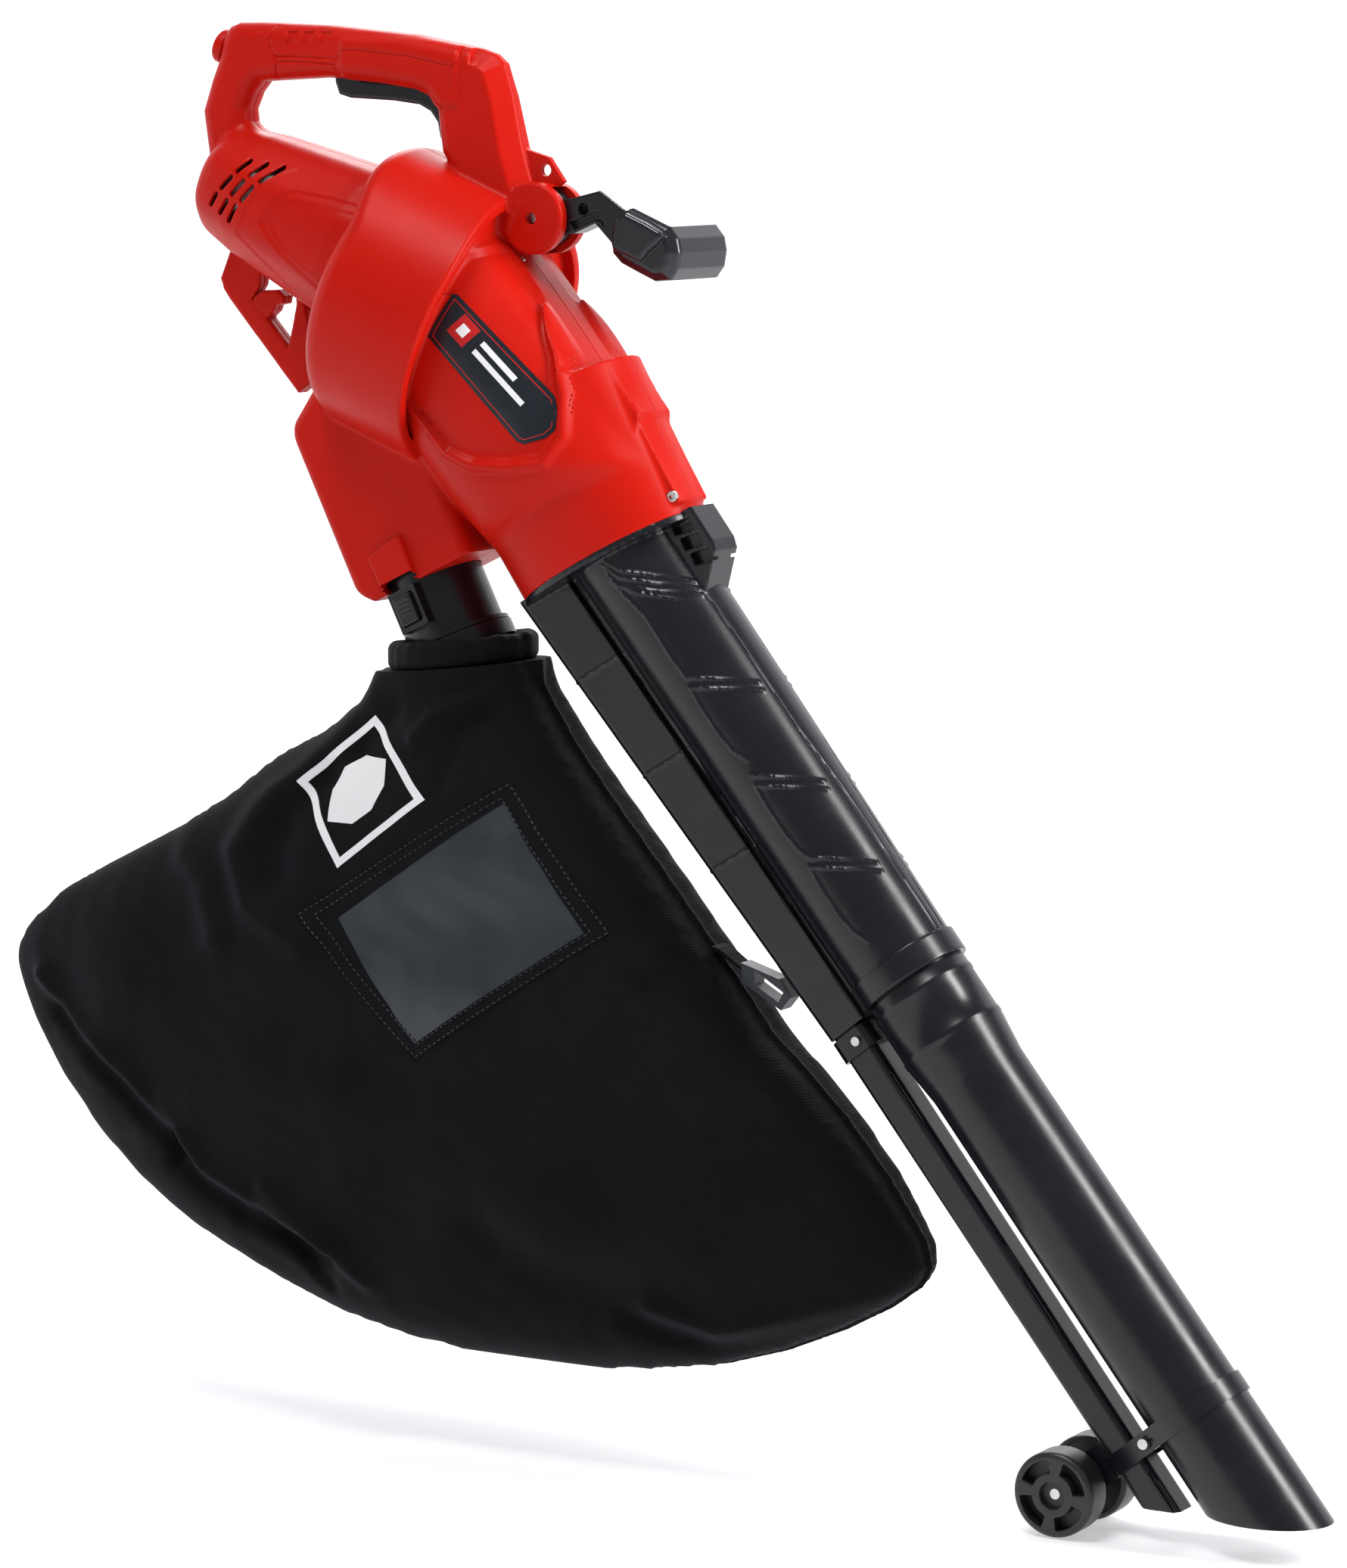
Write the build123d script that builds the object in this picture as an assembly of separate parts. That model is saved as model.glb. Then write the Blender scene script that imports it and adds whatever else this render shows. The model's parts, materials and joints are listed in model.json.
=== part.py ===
from build123d import *

import os
from math import cos, radians, sin

# Leaf vacuum mulcher. Millimetres, +Z up, +X the way the nozzle points, +Y the machine's left.
# The origin is the middle of the main grip, and the machine is held as it is in use:
# the tube slopes down to the ground and the wheels touch it.

# Slopes below the horizontal, in degrees
TUBE_ANGLE = 51.7
MOUTH_ANGLE = 61.5
MOTOR_ANGLE = 22.0
SPIGOT_ANGLE = 64.0

# General fits
WALL = 3.0
TUBE_WALL = 2.2
RUNNING_GAP = 0.05
LOOSE_GAP = 0.5

# Motor and fan, measured along the motor axis from the middle of the fan
BARREL_TAIL = -190.0
SHROUD_RADIUS = 112.0
SHROUD_BACK, SHROUD_FRONT = -38.0, 93.0
SHROUD_DROP = 20.0
SHROUD_ROUND = 24.0
SHROUD_LIP_ROUND = 6.0
ROOF_HEIGHT, ROOF_SLOPE = 83.5, 6.1
IMPELLER_RADIUS = 80.0
SHAFT_RADIUS = 5.0
STATOR_START, STATOR_END = -130.0, -80.0

# Handle
GRIP_RADIUS = 19.5
STEM_WIDTH = 34.0
GRIP_PATH = [(-92, -98), (-98, -46), (-80, 0), (0, 0.5), (125, -15)]
TRIGGER_PIVOT = (14.0, -9.0)
TRIGGER_WIDTH = 14.0
TRIGGER_SPRING_X = 53.0
SWITCH_BOTTOM = -13.0
DIAL_CENTRE = (-96.0, 3.0)
DIAL_RADIUS = 14.0
DIAL_ANGLE = 200.0

# Auxiliary handle
PIVOT = (192.5, -125.5)
EAR_RADIUS = 27.5
EAR_OUTER = 20.0
EAR_GAP = 10.8
HUB_RADIUS = 22.5
PIVOT_BOLT_RADIUS = 4.0
EYELET = (196.0, -89.0)
EYELET_RADIUS = 4.5
EYELET_THICKNESS = 5.5

# Tubes: their joint is the origin of the tube frame, and stations run down the tube
TUBE_JOINT = (517.4, -691.7)
UPPER_TUBE_TOP = -424.0
SUCTION_TOP_RADIUS = 47.0
SUCTION_JOINT_RADIUS = 42.5
SUCTION_END_RADIUS = 38.3
NOZZLE_CUT_Z = -1064.0
MOUTH_CENTRE = (255.7, -382.9)
MOUTH_RADII = (82.0, 56.0)
NECK_DEPTH = 10.0

# Diverter flap between the bag outlet and the blow channel
FLAP_PIVOT = (121.0, -350.5)
FLAP_SHAFT_RADIUS = 4.0
FLAP_LENGTH = 44.0
FLAP_REST = 60.0

# Bag spigot
SPIGOT_TOP = (91.7, -409.5)
SPIGOT_RADIUS = 39.0
SPIGOT_LENGTH = 74.0

# Bag
BAG_HALF_THICKNESS = 105.0
BAG_WALL = 2.5
NECK_X = 117.0
NECK_RADIUS = 55.0
NECK_TOP_Z = -450.0
BAG_OUTLINE = [
    (172, -484), (252, -572), (339, -675), (394, -743), (459, -803), (529, -893), (526, -926),
    (458, -964), (356, -1002), (237, -1014), (91, -1004), (-41, -966), (-177, -897), (-245, -829),
    (-304, -746), (-309, -722), (-256, -677), (-178, -630), (-66, -572), (29, -500), (62, -484),
]

# Wheels
AXLE_STATION, AXLE_DROP = 374.0, -119.5
WHEEL_RADIUS = 32.5
WHEEL_INNER_Y, WHEEL_OUTER_Y = 15.0, 43.0
AXLE_RADIUS = 4.0

# Housing screws, on the mid-plane
HOUSING_SCREWS = [(-66, 2), (-94, -100), (126, -22), (178, -158), (262, -262), (-2, -310), (38, -398)]
SCREW_RADIUS = 2.0
SCREW_HEAD_RADIUS = 4.0
BADGE_THICKNESS = 1.0

os.makedirs("parts", exist_ok=True)


def frame_along(point, angle):
    """Frame on the mid-plane: +Z runs down a sloping axis and +X points up and forward."""
    slope = radians(angle)
    x_dir, z_dir = (sin(slope), 0, cos(slope)), (cos(slope), 0, -sin(slope))
    return Plane(origin=(point[0], 0, point[1]), x_dir=x_dir, z_dir=z_dir).location


TUBE = frame_along(TUBE_JOINT, TUBE_ANGLE)
MOUTH = frame_along(MOUTH_CENTRE, MOUTH_ANGLE)
MOTOR = frame_along((70.5, -166.5), MOTOR_ANGLE)
SPIGOT = frame_along(SPIGOT_TOP, SPIGOT_ANGLE)
DIAL = frame_along(DIAL_CENTRE, DIAL_ANGLE)
FRONT_SCREW = Pos(0, 0, -407) * Rot(0, 90, 0)
GLAND = MOTOR * Pos(-46, -20, -78) * Rot(0, -90, 0)


def save(name, *solids):
    """Write one node; several solids make one group."""
    shape = solids[0] if len(solids) == 1 else Compound(children=list(solids))
    export_step(shape, f"parts/{name}.step")


def largest(shape):
    """Main solid of a cut, without stray slivers."""
    return max(shape.solids(), key=lambda solid: solid.volume)


def turned(points):
    """Solid of revolution about Z from (radius, station) points."""
    return revolve(Plane.XZ * Polygon(*points, align=None), axis=Axis.Z)


def ring(inner, outer, start, end):
    """Ring about Z between two stations."""
    return turned([(inner, start), (outer, start), (outer, end), (inner, end)])


def rod(radius, start, end):
    """Round bar along Z between two stations."""
    return Pos(0, 0, (start + end) / 2) * Cylinder(radius, end - start)


def block(x_range, y_range, z_range):
    """Box between two corners, in the current frame."""
    spans = [high - low for low, high in (x_range, y_range, z_range)]
    centre = [(high + low) / 2 for low, high in (x_range, y_range, z_range)]
    return Pos(*centre) * Box(*spans)


def side_slab(points, width, y=0.0, corner=0.0):
    """Plate with its outline in the XZ plane and its thickness along Y."""
    face = Plane.XZ * Polygon(*points, align=None)
    if corner:
        face = fillet(face.vertices(), corner)
    return Pos(0, y, 0) * extrude(face, amount=width / 2, both=True)


def cross_bar(point, radius, low, high):
    """Round bar along Y through a point of the XZ plane."""
    return Pos(point[0], (low + high) / 2, point[1]) * Rot(90, 0, 0) * Cylinder(radius, high - low)


def limb(start, end, radius):
    """Round bar between two points of the mid-plane, with ball ends."""
    a, b = Vector(start[0], 0, start[1]), Vector(end[0], 0, end[1])
    bar = Plane(origin=a, z_dir=b - a).location * rod(radius, 0, (b - a).length)
    return bar + Pos(a) * Sphere(radius) + Pos(b) * Sphere(radius)


# Housing ---------------------------------------------------------------------------------------

def barrel(inset):
    """Tapered motor barrel with a bevelled tail."""
    tail = BARREL_TAIL + inset
    profile = [(0, tail), (30 - inset, tail), (47 - inset, BARREL_TAIL + 27), (52 - inset, -140),
               (64 - inset, -45), (64 - inset, -20), (0, -20)]
    return MOTOR * turned(profile)


def shroud(inset):
    """Deep scroll round the fan, set below the motor axis, with a round back shoulder."""
    drum = rod(SHROUD_RADIUS - inset, SHROUD_BACK + inset, SHROUD_FRONT - inset)
    back, *_, front = drum.edges().filter_by(GeomType.CIRCLE).sort_by(Axis.Z)
    drum = fillet(back, SHROUD_ROUND - inset)
    front = drum.edges().filter_by(GeomType.CIRCLE).sort_by(Axis.Z)[-1]
    return MOTOR * Pos(-SHROUD_DROP, 0, 0) * fillet(front, SHROUD_LIP_ROUND - inset)


def mouth_face(inset):
    """Oval of the tube mouth."""
    return Ellipse(MOUTH_RADII[0] - inset, MOUTH_RADII[1] - inset)


def nose(inset):
    """Tapered front from the fan to the tube mouth, with a flat sloping roof."""
    fan_end = MOTOR * Pos(-12, 0, 20 + inset) * Ellipse(95 - inset, 88 - inset)
    cover = loft([fan_end, MOUTH * Pos(0, 0, inset) * mouth_face(inset)])
    above = Pos(100, 0, -150) * Box(200, 300, 500)
    return cover - MOUTH * Pos(ROOF_HEIGHT - inset, 0, 0) * Rot(0, ROOF_SLOPE, 0) * above


def outlet_duct(inset):
    """Square duct from the scroll down to the bag spigot."""
    duct = block((-48 + inset, 64 - inset), (-42 + inset, 42 - inset), (-170 + inset, -inset))
    return SPIGOT * fillet(duct.edges().filter_by(Axis.Z), 12 - inset)


def front_step(inset):
    """Raised step on top of the nose that takes the front screw."""
    step = block((20, 80 - inset), (-25 + inset, 25 - inset), (-522 + inset, -458 - inset))
    return TUBE * step


def grip_loop(inset):
    """Rear stem and main grip."""
    loop = Part()
    for start, end in zip(GRIP_PATH, GRIP_PATH[1:]):
        loop += limb(start, end, GRIP_RADIUS - inset)
    return loop


def front_stem(inset):
    """Deep front leg of the handle, standing on the scroll."""
    back, front = 104 + inset, 150 - inset
    outline = [(100 + inset, 4 - inset), (front, -4 - inset), (186 - inset, -75), (194 - inset, -112),
               (170, -150), (110, -120), (back - 4, -92), (back + 3, -72), (back + 1, -50),
               (90 + inset, -31 + inset)]
    return side_slab(outline, STEM_WIDTH - 2 * inset)


def housing_form(inset):
    """Whole housing as one solid, shrunk by the inset."""
    form = shroud(inset) + nose(inset) + outlet_duct(inset) + barrel(inset)
    return form + front_step(inset) + front_stem(inset) + grip_loop(inset)


def cable_hook():
    """Loop under the barrel with an inner finger that keeps the plug-in lead from pulling out."""
    bar = [(-84, -138), (-104, -179), (-97, -194), (-30, -267), (-10, -262), (-28, -222), (-41, -222),
           (-60, -206), (-72, -193), (-66, -173), (-48, -152)]
    finger = [(-74, -193), (-64, -186), (-50, -185), (-43, -194), (-52, -198), (-58, -206), (-62, -208)]
    return side_slab(bar, 15) + side_slab(finger, 11)


def pivot_barrel():
    """Two ears that carry the auxiliary handle, and the strap eyelet above them."""
    ears = cross_bar(PIVOT, EAR_RADIUS, -EAR_OUTER, EAR_OUTER)
    lug = [(160, -66), (183, -75), (198, -78), (213, -100), (196, -112), (165, -104)]
    return ears + side_slab(lug, EYELET_THICKNESS)


def eyelet_room():
    """Space beside the eyelet's lug for a snap hook."""
    edge = EYELET_THICKNESS / 2
    return cross_bar(EYELET, 8, edge, 30) + cross_bar(EYELET, 8, -30, -edge)


def pivot_clearance():
    """Room between the ears for the handle's hub and its swing."""
    hub_room = cross_bar(PIVOT, HUB_RADIUS + LOOSE_GAP, -EAR_GAP, EAR_GAP)
    x, z = PIVOT
    swing = [(x, z + 22.9), (x + 14, z + 20.5), (x + 40, z + 45), (x + 60, z - 60), (x, z - 22.9)]
    return hub_room + side_slab(swing, 2 * EAR_GAP)


def vent_slots():
    """Three rows of three slots through each side of the barrel's tail."""
    slots = Part()
    for column in range(3):
        for row in range(3):
            cut = Box(13, 140, 4.5)
            slots += Pos(18 - 17 * row, 0, -166 + 15 * column + 3 * row) * cut
    return MOTOR * slots


def housing_cuts():
    """Everything that is taken out of the closed shell."""
    mouth = MOUTH * Pos(0, 0, 60) * Box(300, 300, 120)
    spigot_hole = SPIGOT * rod(SPIGOT_RADIUS + LOOSE_GAP, -20, 20)
    trigger_slot = side_slab([(5, -12), (5, -45), (118, -80), (118, -24), (90, -12)], TRIGGER_WIDTH + 2)
    dial_hole = DIAL * rod(4 + LOOSE_GAP, -20, 20)
    flap_hole = cross_bar(FLAP_PIVOT, FLAP_SHAFT_RADIUS + RUNNING_GAP, 20, 90)
    gland_hole = GLAND * rod(7 + LOOSE_GAP, -20, 30)
    bolt_hole = cross_bar(PIVOT, PIVOT_BOLT_RADIUS + RUNNING_GAP, -60, 60)
    bolt_head_hole = cross_bar(PIVOT, 7.5, -60, -EAR_OUTER + 4) + cross_bar(PIVOT, 7.5, EAR_OUTER - 4, 60)
    eyelet_hole = cross_bar(EYELET, EYELET_RADIUS, -10, 10) + eyelet_room()
    front_hole = TUBE * FRONT_SCREW * (rod(SCREW_HEAD_RADIUS + LOOSE_GAP, 66, 90)
                                       + rod(SCREW_RADIUS + RUNNING_GAP, 40, 70))
    cuts = [mouth, front_hole, spigot_hole, trigger_slot, dial_hole, flap_hole, gland_hole, bolt_hole,
            bolt_head_hole, eyelet_hole, pivot_clearance(), vent_slots(), latch_room()]
    for point in HOUSING_SCREWS:
        cuts.append(cross_bar(point, SCREW_RADIUS + RUNNING_GAP, -90, 16))
        cuts.append(cross_bar(point, SCREW_HEAD_RADIUS + LOOSE_GAP, -90, -10))
    return cuts


def latch_room():
    """Notch in the outlet's rim for the spigot latch."""
    return SPIGOT * block((-19, 13), (36, 60), (-6, 30))


def housing_shell():
    """Both halves in one piece, hollow, with screw bosses and openings."""
    form = housing_form(0)
    bosses = Part()
    for point in HOUSING_SCREWS:
        bosses += cross_bar(point, 6.5, -90, 90)
    hollow = housing_form(WALL) - cross_bar(PIVOT, EAR_RADIUS, -EAR_OUTER, EAR_OUTER)
    shell = form - hollow + (form & bosses)
    shell += (cable_hook() + pivot_barrel()) - hollow
    for cut in housing_cuts():
        shell -= cut
    return shell


def build_housing():
    shell = housing_shell()
    big = 900
    save("housing_right", largest(shell & Pos(0, -big / 2, 0) * Box(2 * big, big, 2 * big)))
    save("housing_left", largest(shell & Pos(0, big / 2, 0) * Box(2 * big, big, 2 * big)))
    screws = []
    for point in HOUSING_SCREWS:
        head = cross_bar(point, SCREW_HEAD_RADIUS, -13, -10)
        screws.append(head + cross_bar(point, SCREW_RADIUS, -10, 14))
    save("housing_screws", *screws)


def build_badge():
    """Thin plate that follows the right side of the nose."""
    outline = [(155, -180), (135, -215), (212, -295), (244, -284), (242, -266)]
    skin = nose(-BADGE_THICKNESS) - nose(0) - shroud(0)
    save("badge_plate", largest(skin & side_slab(outline, 80, y=-90, corner=2)))


def build_cord_gland():
    """Short rubber collar where the supply lead goes into the motor barrel."""
    collar = turned([(3.6, 4), (7, 4), (7, 13.6), (9.5, 13.6), (9.5, 17.5), (5.5, 34), (3.6, 34)])
    save("cord_gland", GLAND * collar)


# Handle controls ---------------------------------------------------------------------------------

def build_trigger():
    """Long finger lever, hinged at its rear end."""
    outline = [(8, -4), (8, -20), (12, -32), (87, -38), (99, -48), (104, -66), (109, -67),
               (112, -52), (101, -32), (92, -25), (30, -20), (20, -4)]
    lever = side_slab(outline, TRIGGER_WIDTH, corner=1.5)
    pin_hole = cross_bar(TRIGGER_PIVOT, 2 + RUNNING_GAP, -20, 20)
    hollow = side_slab([(46, -8), (46, -30), (60, -30), (60, -8)], TRIGGER_WIDTH - 5)
    save("trigger", lever - pin_hole - hollow)
    save("trigger_pin", cross_bar(TRIGGER_PIVOT, 2, -10, 10))
    save("trigger_spring", Pos(TRIGGER_SPRING_X, 0, 0) * ring(2, 3.6, -29.8, SWITCH_BOTTOM))


def build_controls():
    """Switch, speed board, capacitor and the speed dial."""
    switch_case = block((34, 70), (-8, 8), (SWITCH_BOTTOM, 2)) + block((40, 46), (-4, 4), (-15.5, -13))
    save("switch_module", switch_case)
    save("speed_board", block((-58, -22), (-12, 12), (-3, -1)) + block((-50, -30), (-9, 9), (-1, 8)))
    save("suppression_capacitor", cross_bar((146, -56), 7, -12, 12))
    knob = DIAL * turned([(0, 4.5), (DIAL_RADIUS, 4.5), (DIAL_RADIUS, 10), (10, 15), (0, 16)])
    stem = DIAL * rod(4, -16, 4.5)
    for step in range(12):
        knob -= DIAL * Rot(0, 0, 30 * step) * Pos(DIAL_RADIUS + 0.6, 0, 7) * Cylinder(1.4, 16)
    save("speed_dial", knob + stem)
    save("dial_potentiometer", DIAL * ring(4.1, 9, -15, -9))


# Motor -------------------------------------------------------------------------------------------

def build_motor():
    """Series motor: field, armature, brushes and bearings on the motor axis."""
    field = ring(25, 41, STATOR_START, STATOR_END)
    for side in (-1, 1):
        field -= block((-50, 50), (side * 44 - 6, side * 44 + 6), (STATOR_START - 1, STATOR_END + 1))
    save("motor_field", MOTOR * field)
    coils = [ring(26, 37, STATOR_START - 10, STATOR_START), ring(26, 37, STATOR_END, STATOR_END + 10)]
    save("field_coils", *[MOTOR * coil for coil in coils])
    core = ring(SHAFT_RADIUS, 23.5, STATOR_START, STATOR_END)
    for slot in range(12):
        core -= Rot(0, 0, 30 * slot) * block((19, 25), (-1.2, 1.2), (STATOR_START - 1, STATOR_END + 1))
    save("armature_core", MOTOR * core)
    turns = [ring(8, 21, STATOR_START - 8, STATOR_START), ring(8, 21, STATOR_END, STATOR_END + 8)]
    save("armature_windings", *[MOTOR * turn for turn in turns])
    save("armature_shaft", MOTOR * (rod(SHAFT_RADIUS, -160, 34) + rod(4, -167, -160) + rod(3.5, 34, 46)))
    save("commutator", MOTOR * ring(SHAFT_RADIUS, 12, -156, -142))
    holders, brushes = [], []
    for side in (-1, 1):
        holder = block((12.6, 31), (-6, 6), (-154, -144)) - block((12, 29), (-3.5, 3.5), (-152, -146))
        brush = block((12.1, 26), (-3.2, 3.2), (-151.8, -146.2))
        turn = Rot(0, 0, 90 * side)
        holders.append(MOTOR * turn * holder)
        brushes.append(MOTOR * turn * brush)
    save("brush_holders", *holders)
    save("carbon_brushes", *brushes)
    save("rear_bearing", MOTOR * ring(4 + RUNNING_GAP, 11, -167, -160.5))
    save("front_bearing", MOTOR * ring(SHAFT_RADIUS + RUNNING_GAP, 13, -44, -36))
    save("rear_bracket", MOTOR * (ring(11, 39, -167, -162) + ring(37.2, 39, -162, STATOR_START)))
    save("motor_plate", MOTOR * (ring(13, 60, -41, -37) + ring(13, 20, -46, -41)))
    fan = ring(SHAFT_RADIUS, 12, -66, -50) + ring(12, 34, -52, -50)
    for blade in range(10):
        fan += Rot(0, 0, 36 * blade) * block((11, 34), (-0.8, 0.8), (-64, -52))
    save("cooling_fan", MOTOR * fan)


def build_impeller():
    """Metal mulching fan on the front of the armature shaft."""
    wheel = ring(SHAFT_RADIUS, 14, -30, 20) + ring(14, IMPELLER_RADIUS, -30, -27)
    blade_outline = [(12, -28), (IMPELLER_RADIUS - 1, -28), (IMPELLER_RADIUS - 1, 6), (52, 22), (12, 18)]
    blade = extrude(Plane.XZ * Polygon(*blade_outline, align=None), amount=1.5, both=True)
    for index in range(8):
        wheel += Rot(0, 0, 45 * index) * Pos(0, 3, 0) * blade
    save("impeller", MOTOR * (wheel - rod(SHAFT_RADIUS, -40, 40)))
    nut = extrude(RegularPolygon(9, 6), amount=8) - Cylinder(3.5, 40)
    save("impeller_nut", MOTOR * Pos(0, 0, 34.2) * nut)
    outer, inner = [], []
    for faces, radius in ((outer, 46), (inner, 44)):
        faces.append(MOTOR * Pos(0, 0, 27) * Circle(radius + 2))
        faces.append(frame_along((176, -262), 46) * Circle(radius))
        faces.append(TUBE * Pos(0, 0, UPPER_TUBE_TOP - 14) * Circle(radius))
    save("inlet_duct", loft(outer) - loft(inner))


def build_diverter():
    """Flap between the bag outlet and the blow channel, with its lever on the left side."""
    along = (cos(radians(FLAP_REST)), sin(radians(FLAP_REST)))
    x, z = FLAP_PIVOT
    across = (-along[1] * 1.5, along[0] * 1.5)
    tip = (x + along[0] * FLAP_LENGTH, z + along[1] * FLAP_LENGTH)
    outline = [(x + across[0], z + across[1]), (tip[0] + across[0], tip[1] + across[1]),
               (tip[0] - across[0], tip[1] - across[1]), (x - across[0], z - across[1])]
    shaft = cross_bar(FLAP_PIVOT, FLAP_SHAFT_RADIUS, -30, 50)
    save("diverter_flap", side_slab(outline, 56) + shaft)
    bar = side_slab([(x - 6, z + 4), (x + 6, z - 4), (x - 24, z - 36), (x - 32, z - 32)], 8, y=50)
    lever = cross_bar(FLAP_PIVOT, 15, 43.4, 54) + bar
    save("mode_lever", lever - cross_bar(FLAP_PIVOT, FLAP_SHAFT_RADIUS, 40, 50))


# Auxiliary handle ----------------------------------------------------------------------------------

def build_aux_handle():
    """Hub and arm between the ears, and the cross grip on the far side."""
    x, z = PIVOT
    hub = cross_bar(PIVOT, HUB_RADIUS, -EAR_GAP + 0.3, EAR_GAP - 0.3)
    arm = [(x + 2, z + 13), (x + 30, z + 14), (x + 55, z + 20), (x + 76, z + 4), (x + 70, z - 20),
           (x + 52, z - 2), (x + 32, z - 10), (x + 4, z - 14)]
    arm_solid = hub + side_slab(arm, 2 * (EAR_GAP - 0.3))
    save("aux_arm", arm_solid - cross_bar(PIVOT, PIVOT_BOLT_RADIUS + RUNNING_GAP, -20, 20))
    section = [(262, -117), (272, -119), (306, -136), (313, -146), (306, -170), (290, -166), (258, -144)]
    grip = Pos(0, 34, 0) * side_slab(section, 92, corner=4)
    save("aux_grip", grip - side_slab(arm, 2 * (EAR_GAP - 0.3)))
    bolt = cross_bar(PIVOT, PIVOT_BOLT_RADIUS, -EAR_OUTER + 4, EAR_OUTER + 2)
    save("pivot_bolt", bolt + cross_bar(PIVOT, 6.5, -EAR_OUTER + 0.5, -EAR_OUTER + 4))
    nut = Pos(x, EAR_OUTER - 0.5, z) * Rot(90, 0, 0) * extrude(RegularPolygon(6.8, 6), amount=3.5)
    save("pivot_nut", nut - cross_bar(PIVOT, PIVOT_BOLT_RADIUS, 0, 40))


# Tubes ---------------------------------------------------------------------------------------------

def suction_form(inset):
    """Tapered round duct of the upper tube."""
    return turned([(0, UPPER_TUBE_TOP), (SUCTION_TOP_RADIUS - inset, UPPER_TUBE_TOP),
                   (SUCTION_JOINT_RADIUS - inset, 0), (0, 0)])


def blow_form(inset):
    """Tapered flat-sided channel under the round duct."""
    top = Pos(-70, 0, UPPER_TUBE_TOP) * RectangleRounded(48 - 2 * inset, 56 - 2 * inset, 12 - inset)
    end = Pos(-61, 0, 0) * RectangleRounded(38.5 - 2 * inset, 42 - 2 * inset, 12 - inset)
    return loft([top, end])


def build_upper_tube():
    """Suction duct and blow channel moulded together, with the neck that plugs into the housing."""
    tube = TUBE * (suction_form(0) + blow_form(0) + rod(45, -14, 0) + catch_block() + rib_rows())
    tube -= MOUTH * Pos(0, 0, -60) * Box(300, 300, 120)
    tube += MOUTH * extrude(mouth_face(0), amount=5)
    tube += MOUTH * Pos(0, 0, -NECK_DEPTH) * extrude(mouth_face(WALL + 3), amount=NECK_DEPTH)
    tube -= TUBE * FRONT_SCREW * rod(SCREW_RADIUS + RUNNING_GAP, 40, 90)
    tube -= TUBE * (suction_form(TUBE_WALL) + blow_form(TUBE_WALL))
    tube -= TUBE * rod(SUCTION_JOINT_RADIUS - TUBE_WALL, -14, 1)
    tube -= MOUTH * Pos(0, 0, -4) * extrude(mouth_face(2 * WALL + 1), amount=-20)
    save("upper_tube", largest(tube))
    save("front_screw", TUBE * FRONT_SCREW * (rod(SCREW_HEAD_RADIUS, 66, 68.5) + rod(SCREW_RADIUS, 50, 66)))


def catch_block():
    """Catch block on the front of the tube, sloped at its lower end, with three open pockets."""
    outline = [(20, -410), (73, -410), (73, -352), (44, -329), (20, -329)]
    body = extrude(Plane.XZ * Polygon(*outline, align=None), amount=17.5, both=True)
    for station in (-382, -368, -354):
        body -= block((48, 70), (11, 20), (station, station + 11))
    return body


def rib_rows():
    """Raised step lines across the outside of the blow channel."""
    ribs = Part()
    for station in (-330, -240, -150):
        slope = (station - UPPER_TUBE_TOP) / -UPPER_TUBE_TOP
        width = 58 - 14 * slope
        ribs += Pos(-70 + 9 * slope, 0, station) * Box(50 - 10 * slope, width, 1.6)
    return ribs


def build_lower_tubes():
    """Two lower tubes, cut off level with the ground."""
    end = 520
    outer = [(39.8, -26), (39.8, 1.3), (41.6, 1.3), (41.6, 58), (SUCTION_END_RADIUS, 84),
             (SUCTION_END_RADIUS, end)]
    inner = [(radius - TUBE_WALL, station) for radius, station in reversed(outer)]
    below = Pos(0, 0, NOZZLE_CUT_Z - 200) * Box(3000, 600, 400)
    save("lower_suction_tube", TUBE * turned(outer + inner) - below)

    def square_form(inset):
        top = Pos(-65.5, 0, 0.5) * RectangleRounded(28 - 2 * inset, 30 - 2 * inset, 6 - inset)
        low = Pos(-67, 0, 470) * RectangleRounded(25 - 2 * inset, 28 - 2 * inset, 6 - inset)
        return loft([top, low])

    tube = TUBE * (square_form(0) - square_form(2))
    save("lower_blow_tube", tube - Pos(0, 0, -4) * below)


def band_outline(extra):
    """Closed outline round both lower tubes."""
    joined = Circle(38.6 + extra) + Pos(-66.5, 0) * Circle(17.3 + extra)
    return make_hull(joined.edges())


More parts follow.
